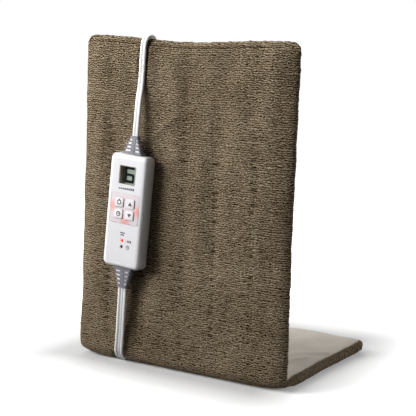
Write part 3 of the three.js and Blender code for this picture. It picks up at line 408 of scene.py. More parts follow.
def smooth_object(
    bm: Shape, name: str, finish: Paint, place: Matrix | None = None, sharp: float = 38.0
) -> Piece:
    """Turn a shape in millimetres into a smooth-shaded piece in metres.

    Args:
        bm: The shape; it is freed.
        name: The piece's name.
        finish: Its material.
        place: Where the shape's own frame lies in the world, in millimetres.
        sharp: Edges that bend by more than this, in degrees, stay crisp.

    Returns:
        The new piece, at the origin.
    """
    bm.transform(Matrix.Scale(MM, 4) @ (place or Matrix.Identity(4)))
    bm.normal_update()
    for face in bm.faces:
        face.smooth = True
    for edge in bm.edges:
        edge.smooth = edge.is_manifold and edge.calc_face_angle(math.pi) < math.radians(sharp)
    made = loose(bm, name)
    made.data.materials.append(finish)
    log.info("%s: %d faces", name, len(made.data.polygons))
    return made


def claim(piece: Piece, body: Body, slot: Slot, *nodes: str) -> Piece:
    """Hang a piece on the body that it moves with and hide the solids that it stands for.

    Args:
        piece: The piece.
        body: What it moves with.
        slot: Its finish in the record; not used.
        nodes: The solids that it stands for.

    Returns:
        The piece.
    """
    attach(piece, body.value)
    if nodes:
        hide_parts(*nodes)
    return piece


def drape(piece: Piece, slot: Slot, line: dict[str, Point], *nodes: str) -> None:
    """Give a cloth piece that bends over the fold its blend from the panel to the flap, and hide the solids
    that it stands for.

    Args:
        piece: The piece.
        slot: Its finish in the record; not used.
        line: Where it changes from following the panel to following the flap.
        nodes: The solids that it stands for.
    """
    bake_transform(piece, Body.PANEL.value, Body.FLAP.value, **line)
    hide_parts(*nodes)


def bevel(bm: Shape, edges: Iterable[bmesh.types.BMEdge], radius: float, segments: int) -> None:
    """Round some edges of a shape."""
    bmesh.ops.bevel(
        bm, geom=list(edges), offset=radius, affect="EDGES", segments=segments, profile=0.5,
        material=-1,
    )


def block(centre: Point, size: Point, bm: Shape | None = None) -> Shape:
    """Make a plain block.

    Args:
        centre: Its middle.
        size: Its size.
        bm: The shape to add it to, if not a new one.

    Returns:
        The shape.
    """
    bm = bmesh.new() if bm is None else bm
    spot = Matrix.Translation(centre) @ Matrix.Diagonal((*size, 1))
    bmesh.ops.create_cube(bm, size=1, matrix=spot)
    return bm


def slab(
    width: float, height: float, low: float, high: float, corner: float, rim: float = 0.0,
    centre: Pair = (0.0, 0.0),
) -> Shape:
    """Make a block with round corners and a soft upper rim.

    Args:
        width: Along x.
        height: Along y.
        low: Lowest z.
        high: Highest z.
        corner: Radius of the four upright corners.
        rim: Radius of the edge round the upper face.
        centre: Middle of the block in x and y.

    Returns:
        The block.
    """
    bm = block((*centre, (low + high) / 2), (width, height, high - low))
    tall = (high - low) / 2
    bevel(bm, [e for e in bm.edges if abs(e.verts[0].co.z - e.verts[1].co.z) > tall], corner, 8)
    if rim:
        upper = [e for e in bm.edges if all(abs(v.co.z - high) < 1e-4 for v in e.verts)]
        bevel(bm, upper, rim, 5)
    return bm


def tapered(wide: Pair, narrow: Pair, start: float, end: float, edge: float) -> Shape:
    """Make a block along y that narrows towards its end.

    Args:
        wide: Width and depth where it starts.
        narrow: Width and depth where it ends.
        start: Where it starts.
        end: Where it ends.
        edge: Radius of its long edges.

    Returns:
        The block.
    """
    bm = block((0, 0, 0), (1, 1, 1))
    for vert in bm.verts:
        across, deep = narrow if vert.co.y > 0 else wide
        vert.co = (vert.co.x * across, end if vert.co.y > 0 else start, vert.co.z * deep)
    bevel(bm, [e for e in bm.edges if abs(e.verts[0].co.y - e.verts[1].co.y) > 1], edge, 5)
    return bm


def turned(
    bm: Shape, outline: Sequence[Pair], centre: Pair, steps: int, closed: bool = False
) -> None:
    """Spin an outline round an upright axis.

    Args:
        bm: The shape to add to.
        outline: Distances from the axis and heights.
        centre: Where the axis stands.
        steps: Steps in a full turn.
        closed: Whether the outline's end joins its start.
    """
    line = [bm.verts.new((centre[0] + r, centre[1], z)) for r, z in outline]
    edges = [bm.edges.new(ends) for ends in zip(line, line[1:] + line[: int(closed)])]
    bmesh.ops.spin(
        bm, geom=line + edges, cent=(*centre, 0), axis=(0, 0, 1), angle=2 * math.pi, steps=steps,
        use_merge=True,
    )


def grid(points: Row) -> Shape:
    """Make a sheet of faces through points.

    Args:
        points: Rows of columns of points.

    Returns:
        The sheet, with its vertices row by row.
    """
    rows, columns = points.shape[:2]
    bm = bmesh.new()
    bmesh.ops.create_grid(bm, x_segments=columns - 1, y_segments=rows - 1, size=1)
    bm.verts.ensure_lookup_table()
    for vert, point in zip(bm.verts, points.reshape(-1, 3)):
        vert.co = point
    return bm


def outwards(bm: Shape) -> None:
    """Turn a shape's faces outwards."""
    bmesh.ops.recalc_face_normals(bm, faces=bm.faces)


def fill(bm: Shape) -> None:
    """Close a shape's open rims."""
    bmesh.ops.holes_fill(bm, edges=[e for e in bm.edges if e.is_boundary], sides=0)


def merge(bm: Shape, gap: float = 0.001) -> None:
    """Merge a shape's doubled points."""
    bmesh.ops.remove_doubles(bm, verts=bm.verts, dist=gap)


def carve(bm: Shape, *cutters: Shape) -> Shape:
    """Cut shapes out of a block.

    Args:
        bm: The block; it is freed.
        cutters: The shapes to take away; they are freed.

    Returns:
        What is left.
    """
    body = loose(bm, "stock")
    tools = [loose(cutter, "cutter") for cutter in cutters]
    for tool in tools:
        cut = body.modifiers.new("cut", "BOOLEAN")
        cut.operation, cut.solver, cut.object = "DIFFERENCE", "EXACT", tool
    left = bmesh.new()
    left.from_mesh(body.evaluated_get(bpy.context.evaluated_depsgraph_get()).to_mesh())
    for helper in (body, *tools):
        mesh = helper.data
        bpy.data.objects.remove(helper)
        bpy.data.meshes.remove(mesh)
    merge(left)
    return left


def joined(first: Shape, other: Shape) -> Shape:
    """Put two shapes into one.

    Args:
        first: A shape.
        other: Another; it is freed.

    Returns:
        The first, with the other added.
    """
    mesh = bpy.data.meshes.new("joined")
    other.to_mesh(mesh)
    other.free()
    first.from_mesh(mesh)
    bpy.data.meshes.remove(mesh)
    return first


def ribs(width: float, places: Iterable[float], heights: Iterable[float]) -> list[Shape]:
    """Make cutters for grooves across a grip, by their width, places along y and heights."""
    stroke, depth = 1.4, 1.8
    return [block((0, y, z), (width, stroke, depth)) for y, z in itertools.product(places, heights)]


def on_panel(at: Point) -> Matrix:
    """Frame of what lies on the panel: x across, y up along it and z out of its face."""
    lean = Matrix.Translation((0, FOLD_LINE_Y, FOLD_RADIUS)) @ Matrix.Rotation(-LEAN, 4, "X")
    return lean @ Matrix.Translation(at) @ Matrix.Rotation(math.pi / 2, 4, "X")


def hang(name: str, data: bpy.types.ID, place: Point, aim: Point) -> Piece:
    """Place a camera or a lamp and point it.

    Args:
        name: Its name.
        data: The camera or lamp.
        place: Where it hangs, in metres.
        aim: Where it points, in metres.

    Returns:
        The new object.
    """
    made = bpy.data.objects.new(name, data)
    made.location = place
    towards = Vector(aim) - Vector(place)
    made.rotation_euler = towards.to_track_quat("-Z", "Y").to_euler()
    bpy.context.scene.collection.objects.link(made)
    return made


@dataclass
class PhotoCamera:
    """The camera at the photograph's place, for a square picture."""

    eye: Point = (0.8723, -1.3585, 0.4882)  # m
    target: Point = (0.02684, -0.07879, 0.20324)  # m
    lens: float = 111.99
    sensor: float = 36.0

    def build(self) -> None:
        """Make it and give it to the scene."""
        data = bpy.data.cameras.new("photo_camera")
        data.lens, data.sensor_width = self.lens, self.sensor
        data.clip_start, data.clip_end = 0.05, 50.0
        bpy.context.scene.camera = hang("photo_camera", data, self.eye, self.target)


@dataclass
class FlatCord:
    """A flat lead of two or three round cores side by side under one white sheath."""

    name: str
    width: float
    cores: int
    groove: float = 0.5  # share of the half thickness that the grooves take
    shade: float = 1.0  # how far painted shade greys the grooves
    thickness: float = 3.6
    groove_width: float = 0.8
    around: int = 44
    step: float = 3.0

    def section(self) -> Row:
        """Outline of the sheath.

        Returns:
            Points across the width and through the thickness, once round, and how much painted shade greys
            each.
        """
        turn = np.linspace(0, 2 * math.pi, self.around + 1)
        across = np.sign(np.cos(turn)) * np.abs(np.cos(turn)) ** 0.62 * self.width / 2
        through = np.sign(np.sin(turn)) * np.abs(np.sin(turn)) ** 0.55 * self.thickness / 2
        deep = np.zeros_like(across)
        for core in range(1, self.cores):
            line = (core / self.cores - 0.5) * self.width
            deep += np.exp(-(((across - line) / self.groove_width) ** 2))
        return np.stack([across, through * (1 - self.groove * deep), self.shade * deep], axis=1)

    def resample(self, route: Row) -> Row:
        """Even steps along a smooth curve through a route's points.

        Args:
            route: Points with the direction of the width, six numbers each.

        Returns:
            The same, about a step apart.
        """
        padded = np.vstack([2 * route[0] - route[1], route, 2 * route[-1] - route[-2]])
        t = np.linspace(0, 1, 12, endpoint=False)[:, None]
        fine = [
            0.5 * (
                2 * start + (end - before) * t
                + (2 * before - 5 * start + 4 * end - after) * t**2
                + (3 * start - before - 3 * end + after) * t**3
            )
            for before, start, end, after in zip(padded, padded[1:], padded[2:], padded[3:])
        ]
        line = np.vstack([*fine, route[-1:]])
        steps = np.linalg.norm(np.diff(line[:, :3], axis=0), axis=1)
        gone = np.concatenate([[0], np.cumsum(steps)])
        wanted = np.linspace(0, gone[-1], max(8, round(gone[-1] / self.step)) + 1)
        return np.stack([np.interp(wanted, gone, line[:, i]) for i in range(6)], axis=1)

    def build(self, route: Row, finish: Paint) -> tuple[Piece, list[Point], float]:
        """Draw the sheath along its route.

        Args:
            route: Points and width directions, in world millimetres.
            finish: The sheath's material.

        Returns:
            The piece, its centre line in metres and that line's length in metres.
        """
        line = self.resample(route)
        centres, wide = line[:, :3], line[:, 3:]
        along = np.gradient(centres, axis=0)
        along /= np.linalg.norm(along, axis=1, keepdims=True)
        wide = wide - along * np.sum(wide * along, axis=1, keepdims=True)
        wide /= np.linalg.norm(wide, axis=1, keepdims=True)
        flat = np.cross(along, wide)
        section = self.section()
        across, through = section[None, :, :1], section[None, :, 1:2]
        bm = grid(centres[:, None] + across * wide[:, None] + through * flat[:, None])
        groove = bm.verts.layers.float.new("groove")
        for vert, grey in zip(bm.verts, np.tile(section[:, 2], len(line))):
            vert[groove] = grey
        merge(bm, 0.01)
        fill(bm)
        outwards(bm)
        made = smooth_object(bm, self.name, finish, sharp=60)
        length = float(np.sum(np.linalg.norm(np.diff(centres, axis=0), axis=1))) * MM
        return made, [tuple(p) for p in centres * MM], length


@dataclass
class Cords:
    """The lead from the controller to the pad, and the mains lead with its spare length coiled."""

    pad_width: float = 8.7
    mains_width: float = 12.5
    coil_start: Pair = (-72.0, 7.2)  # across and up
    coil_radius: float = 66.7  # of the outermost turn
    coil_centre_y: float = 272.0
    coil_turns: float = 4.5
    coil_steps: int = 24  # in a turn
    coil_pitch: float = 4.2
    coil_dip: float = 5.0  # inwards, while the lead climbs to the second layer
    coil_climb: float = 13.5

    def pad_route(self) -> Row:
        """Route of the pad's lead, over the top edge to its connector."""
        points = [
            (-61.15, -7.3, 287.05), (-60.4, -6.5, 298.5), (-60.2, -4.7, 312), (-60.3, -1.6, 328.5),
            (-60.4, 2.9, 345), (-60.2, 5.6, 362), (-59.8, 6.8, 378), (-59.4, 7.6, 388),
            (-59.2, 8.3, 395), (-59.1, 9.8, 400.6), (-59, 13.2, 404.5), (-58.9, 18.1, 406.5),
            (-58.9, 23.2, 406.0), (-59, 27.3, 403.0), (-59.2, 29, 397.8), (-59.6, 29.2, 389),
            (-60.2, 29, 378), (-61, 28.6, 364), (-61.9, 28, 348), (-62.6, 26.9, 331),
            (-63, 25.75, 314.65),
        ]
        return np.array([(x, y + FOLD_LINE_Y, z, 1, 0, 0) for x, y, z in points], float)

    def mains_route(self) -> Row:
        """Route of the mains lead, under the fold, into its coil and out to the plug.

        Returns:
            Points with the direction of the width.
        """
        lead = [
            (-74.35, -19.8, 98.8, 0), (-74.9, -20.7, 85, 0), (-75.9, -21.4, 68, 0),
            (-77.5, -20.9, 52.5, 0), (-79.4, -19.9, 39, 0), (-81.3, -18.8, 28, 0),
            (-83.6, -17.2, 17, 0), (-85.9, -13, 9, 0), (-87.3, -6.25, 3.8, 0),
            (-87.8, -1.3, 2.25, 0), (-87.9, 4, 1.95, 0), (-87.6, 16, 1.95, 0),
            (-85.6, 40, 1.95, 0), (-82.6, 70, 1.95, 0), (-79.8, 100, 1.95, 0),
            (-77.3, 130, 1.95, 0), (-75, 160, 1.95, 0), (-73.4, 185, 1.95, 0),
            (-72.6, 200, 2.2, 6), (-72.2, 212, 3.2, 24), (-72, 224, 4.6, 45),
            (-72, 236, 6, 66), (-72, 248, 7, 84), (-72, 259.2, 7.2, 90),
        ]  # the last number is the twist in degrees
        tail = [
            (-205.4, 259.2, 20.7, 90), (-205.4, 248, 20.2, 84), (-205.4, 238, 18.6, 68),
            (-205.4, 228, 16.2, 45), (-205.4, 218, 13.2, 22), (-205.4, 208, 10.4, 6),
            (-205.4, 196, 8.6, 0), (-205.4, 184, 8.3, 0),
        ]
        coil = []
        centre_x = self.coil_start[0] - self.coil_radius
        for turn in np.arange(0, self.coil_turns + 1e-6, 1 / self.coil_steps):
            climb = min(max((turn - 2) / 0.5, 0), 1)
            inwards = self.coil_pitch * min(turn, self.coil_turns - turn)
            radius = self.coil_radius - inwards - self.coil_dip * math.sin(math.pi * climb) ** 2
            x = centre_x + radius * math.cos(2 * math.pi * turn)
            y = self.coil_centre_y + radius * math.sin(2 * math.pi * turn)
            lift = self.coil_climb * climb * climb * (3 - 2 * climb)
            coil.append((x, y, self.coil_start[1] + lift, 90))
        route = []
        for x, y, z, twist in lead + coil + tail:
            turned_by = math.radians(twist)
            route.append((x, y + FOLD_LINE_Y, z, math.cos(turned_by), 0, math.sin(turned_by)))
        return np.array(route, float)

    def build(self, plug: list, mains: list, finish: Paint) -> None:
        """Draw both leads and hang them on the panel.

        Args:
            plug: The pieces on the pad's lead; not used.
            mains: The pieces on the mains lead; not used.
            finish: The sheath's material.
        """
        pad_cord = FlatCord("pad_lead_sheath", self.pad_width, 2, groove=0.4, shade=0.7)
        mains_cord = FlatCord("mains_lead_sheath", self.mains_width, 3)
        mains_nodes = ("mains_lead", "mains_coil", "mains_tail")
        rows = (
            (pad_cord, self.pad_route(), ("pad_lead",), "connector", "taut", plug),
            (mains_cord, self.mains_route(), mains_nodes, "plug", "coiled", mains),
        )
        for cord, route, nodes, far_end, lay, pieces in rows:
            lead, path, length = cord.build(route, finish)
            claim(lead, Body.PANEL, Slot.CORD, *nodes)


def rough(x: Row, q: Row, wave: Pair, seed: float) -> Row:
    """Smooth random heights over the unfolded cloth.

    Args:
        x: Places across.
        q: Places along.
        wave: Typical size of a bump across and along.
        seed: Which of many such surfaces.

    Returns:
        Heights between about -1 and 1.
    """
    points = zip(x / wave[0], q / wave[1])
    return np.fromiter((noise.noise((a, b, seed)) for a, b in points), float, count=len(x))


def folds(x: Row, q: Row, lines: Iterable[Fold]) -> Row:
    """Soft ridges and dents along straight lines over the unfolded cloth.

    Args:
        x: Places across.
        q: Places along.
        lines: Both ends of each fold, across and along, its height and its width.

    Returns:
        Heights, the sum of all folds.
    """
    total = np.zeros_like(x)
    for x0, q0, x1, q1, rise, width in lines:
        size = math.hypot(x1 - x0, q1 - q0)
        along = ((x - x0) * (x1 - x0) + (q - q0) * (q1 - q0)) / size
        aside = ((x - x0) * (q1 - q0) - (q - q0) * (x1 - x0)) / size
        past = np.maximum(np.abs(along - size / 2) - size / 2 + width, 0)
        total += rise * np.exp(-(np.hypot(aside, past) / width) ** 2)
    return total


@dataclass
class PadForm:
    """The folded pad's form: a panel that leans back, a round fold and a flap on the floor."""

    half: float = 152.5
    panel: float = 391.0
    flap: float = 195.0
    radius: float = FOLD_RADIUS
    corner: float = 11.0
    flap_corner: float = 20.0
    draw_in: float = 1.5
    sag: float = 2.5
    sag_waves: float = 1.2
    stray: tuple[Point, ...] = ((1.6, 44, 95.1), (0.7, 16, 97.3))  # height, length, seed; sides
    curl: float = 8.0  # how far the flap's corners lift off the floor
    flare: float = 9.0  # and how far they reach outwards
    lift_reach: Pair = (45.0, 40.0)  # how far in from the side and the end that starts
    wave: Point = (85.0, 45.0, 4.0)  # where its end lifts, over what width, and how far
    turn: float = math.pi / 2 + LEAN
    settle: float = 20.0  # length past the fold over which the flap comes to lie flat

    @property
    def arc(self) -> float:
        """Length of the cover round the fold."""
        return self.radius * self.turn

    @property
    def far(self) -> float:
        """Place of the flap's end along the unfolded pad."""
        return -self.arc - self.flap

    @property
    def span(self) -> Pair:
        """Middle and half length of the unfolded pad."""
        return (self.panel + self.far) / 2, (self.panel - self.far) / 2

    def lies(self, q: Row) -> Row:
        """How far each place along lies flat on the floor, from 0 to 1."""
        return np.clip((-q - self.arc) / self.settle, 0, 1)

    def half_at(self, q: Row) -> Row:
        """Half the width, which draws in between the corners, at places along."""
        shares = np.clip(q / self.panel, 0, 1) + np.clip((-q - self.arc) / self.flap, 0, 1)
        return self.half - self.draw_in * np.sin(math.pi * shares)

    def corner_at(self, q: Row) -> Row:
        """Radius of the corners at the end that each place is nearer to."""
        return np.where(q < self.span[0], self.flap_corner, self.corner)

    def row_half(self, rows: Row, edge: float = 0.0) -> Row:
        """Half the length of rows across a sheet with rounded corners.

        Args:
            rows: Places along.
            edge: How far the sheet's outline lies inside the pad's.

        Returns:
            Half the length of each.
        """
        end = np.minimum(rows - self.far, self.panel - rows) - edge
        corner = self.corner_at(rows) - edge
        pull = corner - np.sqrt(np.maximum(corner**2 - np.maximum(corner - end, 0) ** 2, 0))
        return self.half_at(rows) - edge - pull

    def inset(self, x: Row, q: Row) -> Row:
        """Distance inwards from the pad's rounded outline.

        Args:
            x: Places across.
            q: Places along.

        Returns:
            Distances, positive inside.
        """
        middle, reach = self.span
        corner = self.corner_at(q)
        side = np.abs(x) - self.half_at(q) + corner
        end = np.abs(q - middle) - reach + corner
        outside = np.hypot(np.maximum(side, 0), np.maximum(end, 0))
        return corner - outside - np.minimum(np.maximum(side, end), 0)

    def place(self, x: Row, q: Row, r: Row) -> Row:
        """Lay unfolded points round the fold.

        Args:
            x: Places across.
            q: Places along.
            r: Heights over the fold's axis, outwards.

        Returns:
            World points in millimetres.
        """
        angle = math.pi - LEAN + np.clip(-q / self.arc, 0, 1) * self.turn
        dip = self.sag * (1 + np.cos(2 * math.pi * self.sag_waves * x / (2 * self.half)))
        up = np.maximum(q, 0) - dip * np.clip(q / self.panel, 0, 1) ** 6
        back = np.maximum(-q - self.arc, 0)
        y = up * math.sin(LEAN) + back + r * np.cos(angle) + FOLD_LINE_Y
        z = self.radius + up * math.cos(LEAN) + r * np.sin(angle)
        side = np.sign(x)
        wander = sum(size * rough(side, q, (0.1, long), seed) for size, long, seed in self.stray)
        wander = wander * np.abs(x / self.half) ** 8
        corner = np.clip((np.abs(x) - self.half) / self.lift_reach[0] + 1, 0, 1) ** 2
        rear = np.clip((back - self.flap) / self.lift_reach[1] + 1, 0, 1) ** 2
        lift = self.wave[2] * np.exp(-(((x - self.wave[0]) / self.wave[1]) ** 2))
        z = z + (self.curl * corner + lift) * rear
        return np.stack([x + side * (wander + self.flare * corner * rear), y, z], axis=-1)

    def fold_line(self, width: float = 13.0) -> dict[str, Point]:
        """Start and end of the change from panel to flap, in metres, by half its width in mm."""
        ends = (("start", -width), ("end", width))
        return {key: (0.0, (FOLD_LINE_Y + w) * MM, (self.radius - w) * MM) for key, w in ends}


@dataclass
class PlushCover:
    """The quilted plush outside of the pad with its wadding, in one closed padded piece."""

    form: PadForm
    columns: int = 150
    panel_rows: int = 330
    fold_rows: int = 22
    flap_rows: int = 70
    roll: float = 7.0  # depth of the padded edge's rounding
    roll_reach: float = 12.0  # how far in from the ends it starts
    side_reach: float = 44.0  # and from the long sides
    flap_reach: float = 8.0  # which lie flatter on the floor
    swell: float = 2.0
    stitch_columns: tuple[float, ...] = (-106.0, -52.0, 5.0, 50.0, 104.0)
    stitch_pitch: float = 8.6
    stitch_depth: float = 1.3
    stitch_size: Pair = (2.8, 1.5)
    stitch_growth: Point = (150, 100, 1.1)  # from where up, over what length and by what share
    stitch_fade: Pair = (330, 80)  # where they are faint, and the length over which they fade
    lane: Pair = (9.0, 0.6)  # width and depth of the dip along the stitches
    hem: float = 7.0  # the hem's seam, below the top edge
    seam: Pair = (1.1, 1.2)  # its width and depth
    tuft: float = 0.75  # height of the nap
    billows: tuple[tuple[float, Pair, float], ...] = (
        (1.8, (70, 80), 51.1), (0.6, (34, 38), 57.7), (1.5, (27, 170), 53.9),
    )  # height, size and seed of the padding's unevenness
    lead_width: float = 16.5
    lead_slope: Pair = (5.0, 9.0)  # width and height of its groove's sides
    lead_line: tuple[Pair, ...] = (
        (0, -87.7), (16, -87.5), (40, -85.6), (70, -82.6), (100, -79.8), (130, -77.3),
        (160, -75.0), (185, -73.4), (200, -72.6),
    )  # the mains lead under the flap: along and across
    lead_limit: tuple[Pair, ...] = ((0, 15.2), (28, 12.0), (62, 10.6), (95, 10.6))  # by degrees
    bed_line: tuple[Pair, ...] = ((330, -60.4), (391, -59.1))  # the pad's lead: along and across
    bed_limit: tuple[Pair, ...] = ((345, 16.0), (362, 14.9), (380, 14.5), (391, 14.5))
    bed_half: float = 5.4
    bed_rise: float = 1.9  # of the nap beside the lead
    bed_slope: Pair = (5.2, 2.2)  # from where, aside of the lead, and over what width it rises
    bed_fade: Pair = (7.5, 8.0)  # from where and over what width it falls off again
    bed_ends: tuple[Pair, Pair] = ((318, 344), (380, 388))  # along, where it sets in and ends
    creases: tuple[Fold, ...] = (
        (-40, 275, -4, 301, 1.4, 4.2), (-32, 262, 8, 290, -0.5, 6), (90, 298, 101, 309, -2.4, 8),
        (2, 322, -34, 376, 1.0, 9), (-58, 8, -58, 78, -1.3, 5), (118, 40, 112, 200, 0.9, 9),
        (60, 330, 128, 366, 0.9, 10), (-128, 150, -120, 300, 0.8, 8), (20, 90, 30, 250, 0.7, 8),
    )  # both ends across and along, height and width
    rim: tuple[Pair, ...] = (
        (-0.5, 6.8), (-0.3, 5.6), (0.4, 3.9), (1.4, 2.7), (2.8, 2.1), (3.9, 2.2), (4.6, 3.0),
        (5.2, 4.2),
    )  # inwards and outwards from the axis
    # the painted-shade mask's value on the rolled edge
    rim_nap_shade: float = 0.7

    def lanes(self) -> tuple[Row, Row]:
        """The grid of the outer face, closer together at the padded edges.

        Returns:
            Places across and along, row by row.
        """
        form, reach = self.form, self.roll_reach
        edge = reach * (1 - np.cos(np.linspace(0, math.pi / 2, 13)))[:-1]
        rows = np.concatenate([
            form.far + 2 * edge,
            np.linspace(form.far + 2 * reach, -form.arc, self.flap_rows, endpoint=False),
            np.linspace(-form.arc, 0, self.fold_rows, endpoint=False),
            np.linspace(0, form.panel - reach, self.panel_rows),
            form.panel - edge[::-1],
        ])
        middle = np.linspace(reach, 2 * form.half - reach, self.columns)
        unit = np.concatenate([edge, middle, 2 * form.half - edge[::-1]]) / form.half - 1
        return np.outer(form.row_half(rows), unit), np.repeat(rows[:, None], len(unit), axis=1)

    def nap(self, x: Row, q: Row) -> Row:
        """Tufts and creases of the nap.

        Args:
            x: Places across.
            q: Places along.

        Returns:
            Heights, most between -1 and 1.
        """
        drift = rough(x, q, (26, 26), 3.1)
        crease = rough(x + 5 * drift, q + 2 * drift, (14.0, 4.4), 7.7)
        small = rough(x + 3 * drift, q, (8.0, 3.0), 11.9)
        where = rough(x, q, (110, 90), 31.7)
        middle = np.clip(1.2 - np.abs(q - 110) / 170 + 0.8 * where, 0.25, 1.0)
        ridges = 1 - 2.4 * np.abs(crease)
        return middle * (0.45 * ridges + 0.4 * small) + 0.3 * rough(x, q, (5.0, 4.0), 17.3)

    def dashes(self, x: Row, q: Row, away: Row) -> Row:
        """Dents of the quilting's stitches, longer half way up and fainter towards the top.

        Args:
            x: Places across.
            q: Places along.
            away: Distances from the nearest line of stitches.

        Returns:
            Depths, from 0 to about 1.
        """
        step = np.abs((q / self.stitch_pitch) % 1 - 0.5) * self.stitch_pitch
        start, reach, share = self.stitch_growth
        long = self.stitch_size[0] * (1 + share * np.clip((q - start) / reach, 0, 1))
        dots = np.exp(-((away / long) ** 4) - (step / self.stitch_size[1]) ** 2)
        faint = np.clip((self.stitch_fade[0] - q) / self.stitch_fade[1], 0.1, 1)
        return dots * faint * np.clip(0.35 + 1.6 * rough(x, q, (30, 9), 61.7), 0.05, 1.1)

    def height(self, x: Row, q: Row) -> tuple[Row, Row]:
        """The outer face over the fold's axis.

        Args:
            x: Places across.
            q: Places along.

        Returns:
            Heights, and each point's painted-shade mask from 0 to 1: low where the nap lies low and in the
            stitches' and seam's dents.
        """
        form = self.form
        inset = form.inset(x, q)
        up = np.clip(q / form.panel, 0, 1)
        crown = self.swell * (1 - np.abs(x / form.half) ** 4) * np.sin(math.pi * up)
        lies = form.lies(q)
        reach = self.side_reach + (self.flap_reach - self.side_reach) * lies
        beside = np.clip(1 - (form.half_at(q) - np.abs(x)) / reach, 0, 1)
        ends = np.minimum(form.panel - q, q - form.far)
        down = np.minimum(np.hypot(beside, np.clip(1 - ends / self.roll_reach, 0, 1)), 1)
        fall = self.roll * (1 - 0.35 * lies) * (1 - np.sqrt(1 - down**2))
        away = np.min(np.abs(x[:, None] - np.array(self.stitch_columns)), axis=1)
        standing = np.clip(q / 12, 0, 1)
        dots = self.dashes(x, q, away) * standing
        lane = np.exp(-((away / self.lane[0]) ** 2)) * standing
        seam = np.exp(-(((q - form.panel + self.hem) / self.seam[0]) ** 2))
        seam = seam * np.clip(rough(x, q, (60, 200), 41.3) * 4 + 0.8, 0, 1)
        nap = self.nap(x, q)
        soft = sum(rise * rough(x, q, size, seed) for rise, size, seed in self.billows)
        soft = soft + folds(x, q, self.creases)
        r = form.radius + crown - fall + soft * standing * np.clip(inset / 20, 0, 1)
        r = r + self.tuft * nap * np.clip(inset / 10, 0.35, 1) - 0.5
        r = r - self.stitch_depth * dots - self.lane[1] * lane - self.seam[1] * seam
        r = np.minimum(r, np.where(q < -form.arc, form.radius - 0.1, 99))
        # painted shade: darker where the nap lies low and in the stitches' and seam's dents
        nap_shade = np.clip(0.5 + 0.38 * nap - 0.75 * dots - 0.5 * seam, 0, 1)
        return self.bed_lead(x, q, self.clear_lead(x, q, r)), nap_shade

    def bed_lead(self, x: Row, q: Row, r: Row) -> Row:
        """Let the pad's lead sink into the nap below the top edge.

        Args:
            x: Places across.
            q: Places along.
            r: Heights of the face.

        Returns:
            The heights, flat under the lead and raised beside it.
        """
        beside = np.abs(x - np.interp(q, *zip(*self.bed_line)))
        under = (beside < self.bed_half) & (q > self.bed_line[0][0])
        flat = np.where(under, np.minimum(r, np.interp(q, *zip(*self.bed_limit))), r)
        rise = np.clip((beside - self.bed_slope[0]) / self.bed_slope[1], 0, 1)
        rise = rise * np.exp(-((np.maximum(beside - self.bed_fade[0], 0) / self.bed_fade[1]) ** 2))
        (low, full), (high, top) = self.bed_ends
        reach = np.clip((q - low) / (full - low), 0, 1) * np.clip((top - q) / (top - high), 0, 1)
        return flat + self.bed_rise * rise * reach

    def clear_lead(self, x: Row, q: Row, r: Row) -> Row:
        """Press the cover in where the mains lead passes under the fold.

        Args:
            x: Places across.
            q: Places along.
            r: Heights of the face.

        Returns:
            The heights, lowered along the lead.
        """
        form = self.form
        share = np.degrees(np.clip(-q / form.arc, 0, 1) * form.turn)
        limit = np.interp(share, *zip(*self.lead_limit))
        limit = np.where(q > 0, self.lead_limit[0][1] + 0.3 * q, limit)
        line = np.interp(np.maximum(-q - form.arc, 0), *zip(*self.lead_line))
        wide, high = self.lead_slope
        slope = np.clip((np.abs(x - line) - self.lead_width / 2) / wide, 0, 1)
        return np.minimum(r, limit + high * slope * slope * (3 - 2 * slope))

    def build(self, finish: Paint) -> None:
        """Make the cover, bent over the fold.

        Args:
            finish: The plush.
        """
        form = self.form
        across, along = self.lanes()
        x, q = across.ravel(), along.ravel()
        r, nap_shade = self.height(x, q)
        bm = grid(form.place(x, q, r).reshape(*across.shape, 3))
        layers = [bm.verts.layers.float.new(n) for n in ("across", "along", "nap_shade")]
        cloth = bm.verts.layers.float_vector.new("cloth")
        for vert, values in zip(bm.verts, zip(x, q, nap_shade)):
            vert[cloth] = Vector((values[0], 0, values[1])) * MM
            for layer, value in zip(layers, values):
                vert[layer] = value
        self.close(bm, layers)
        for name in ("across", "along"):
            bm.verts.layers.float.remove(bm.verts.layers.float[name])
        outwards(bm)
        cover = smooth_object(bm, "plush_cover", finish, sharp=180)
        nodes = ("plush_panel", "plush_flap", "wadding_panel", "wadding_flap")
        drape(cover, Slot.PLUSH, form.fold_line(), *nodes)

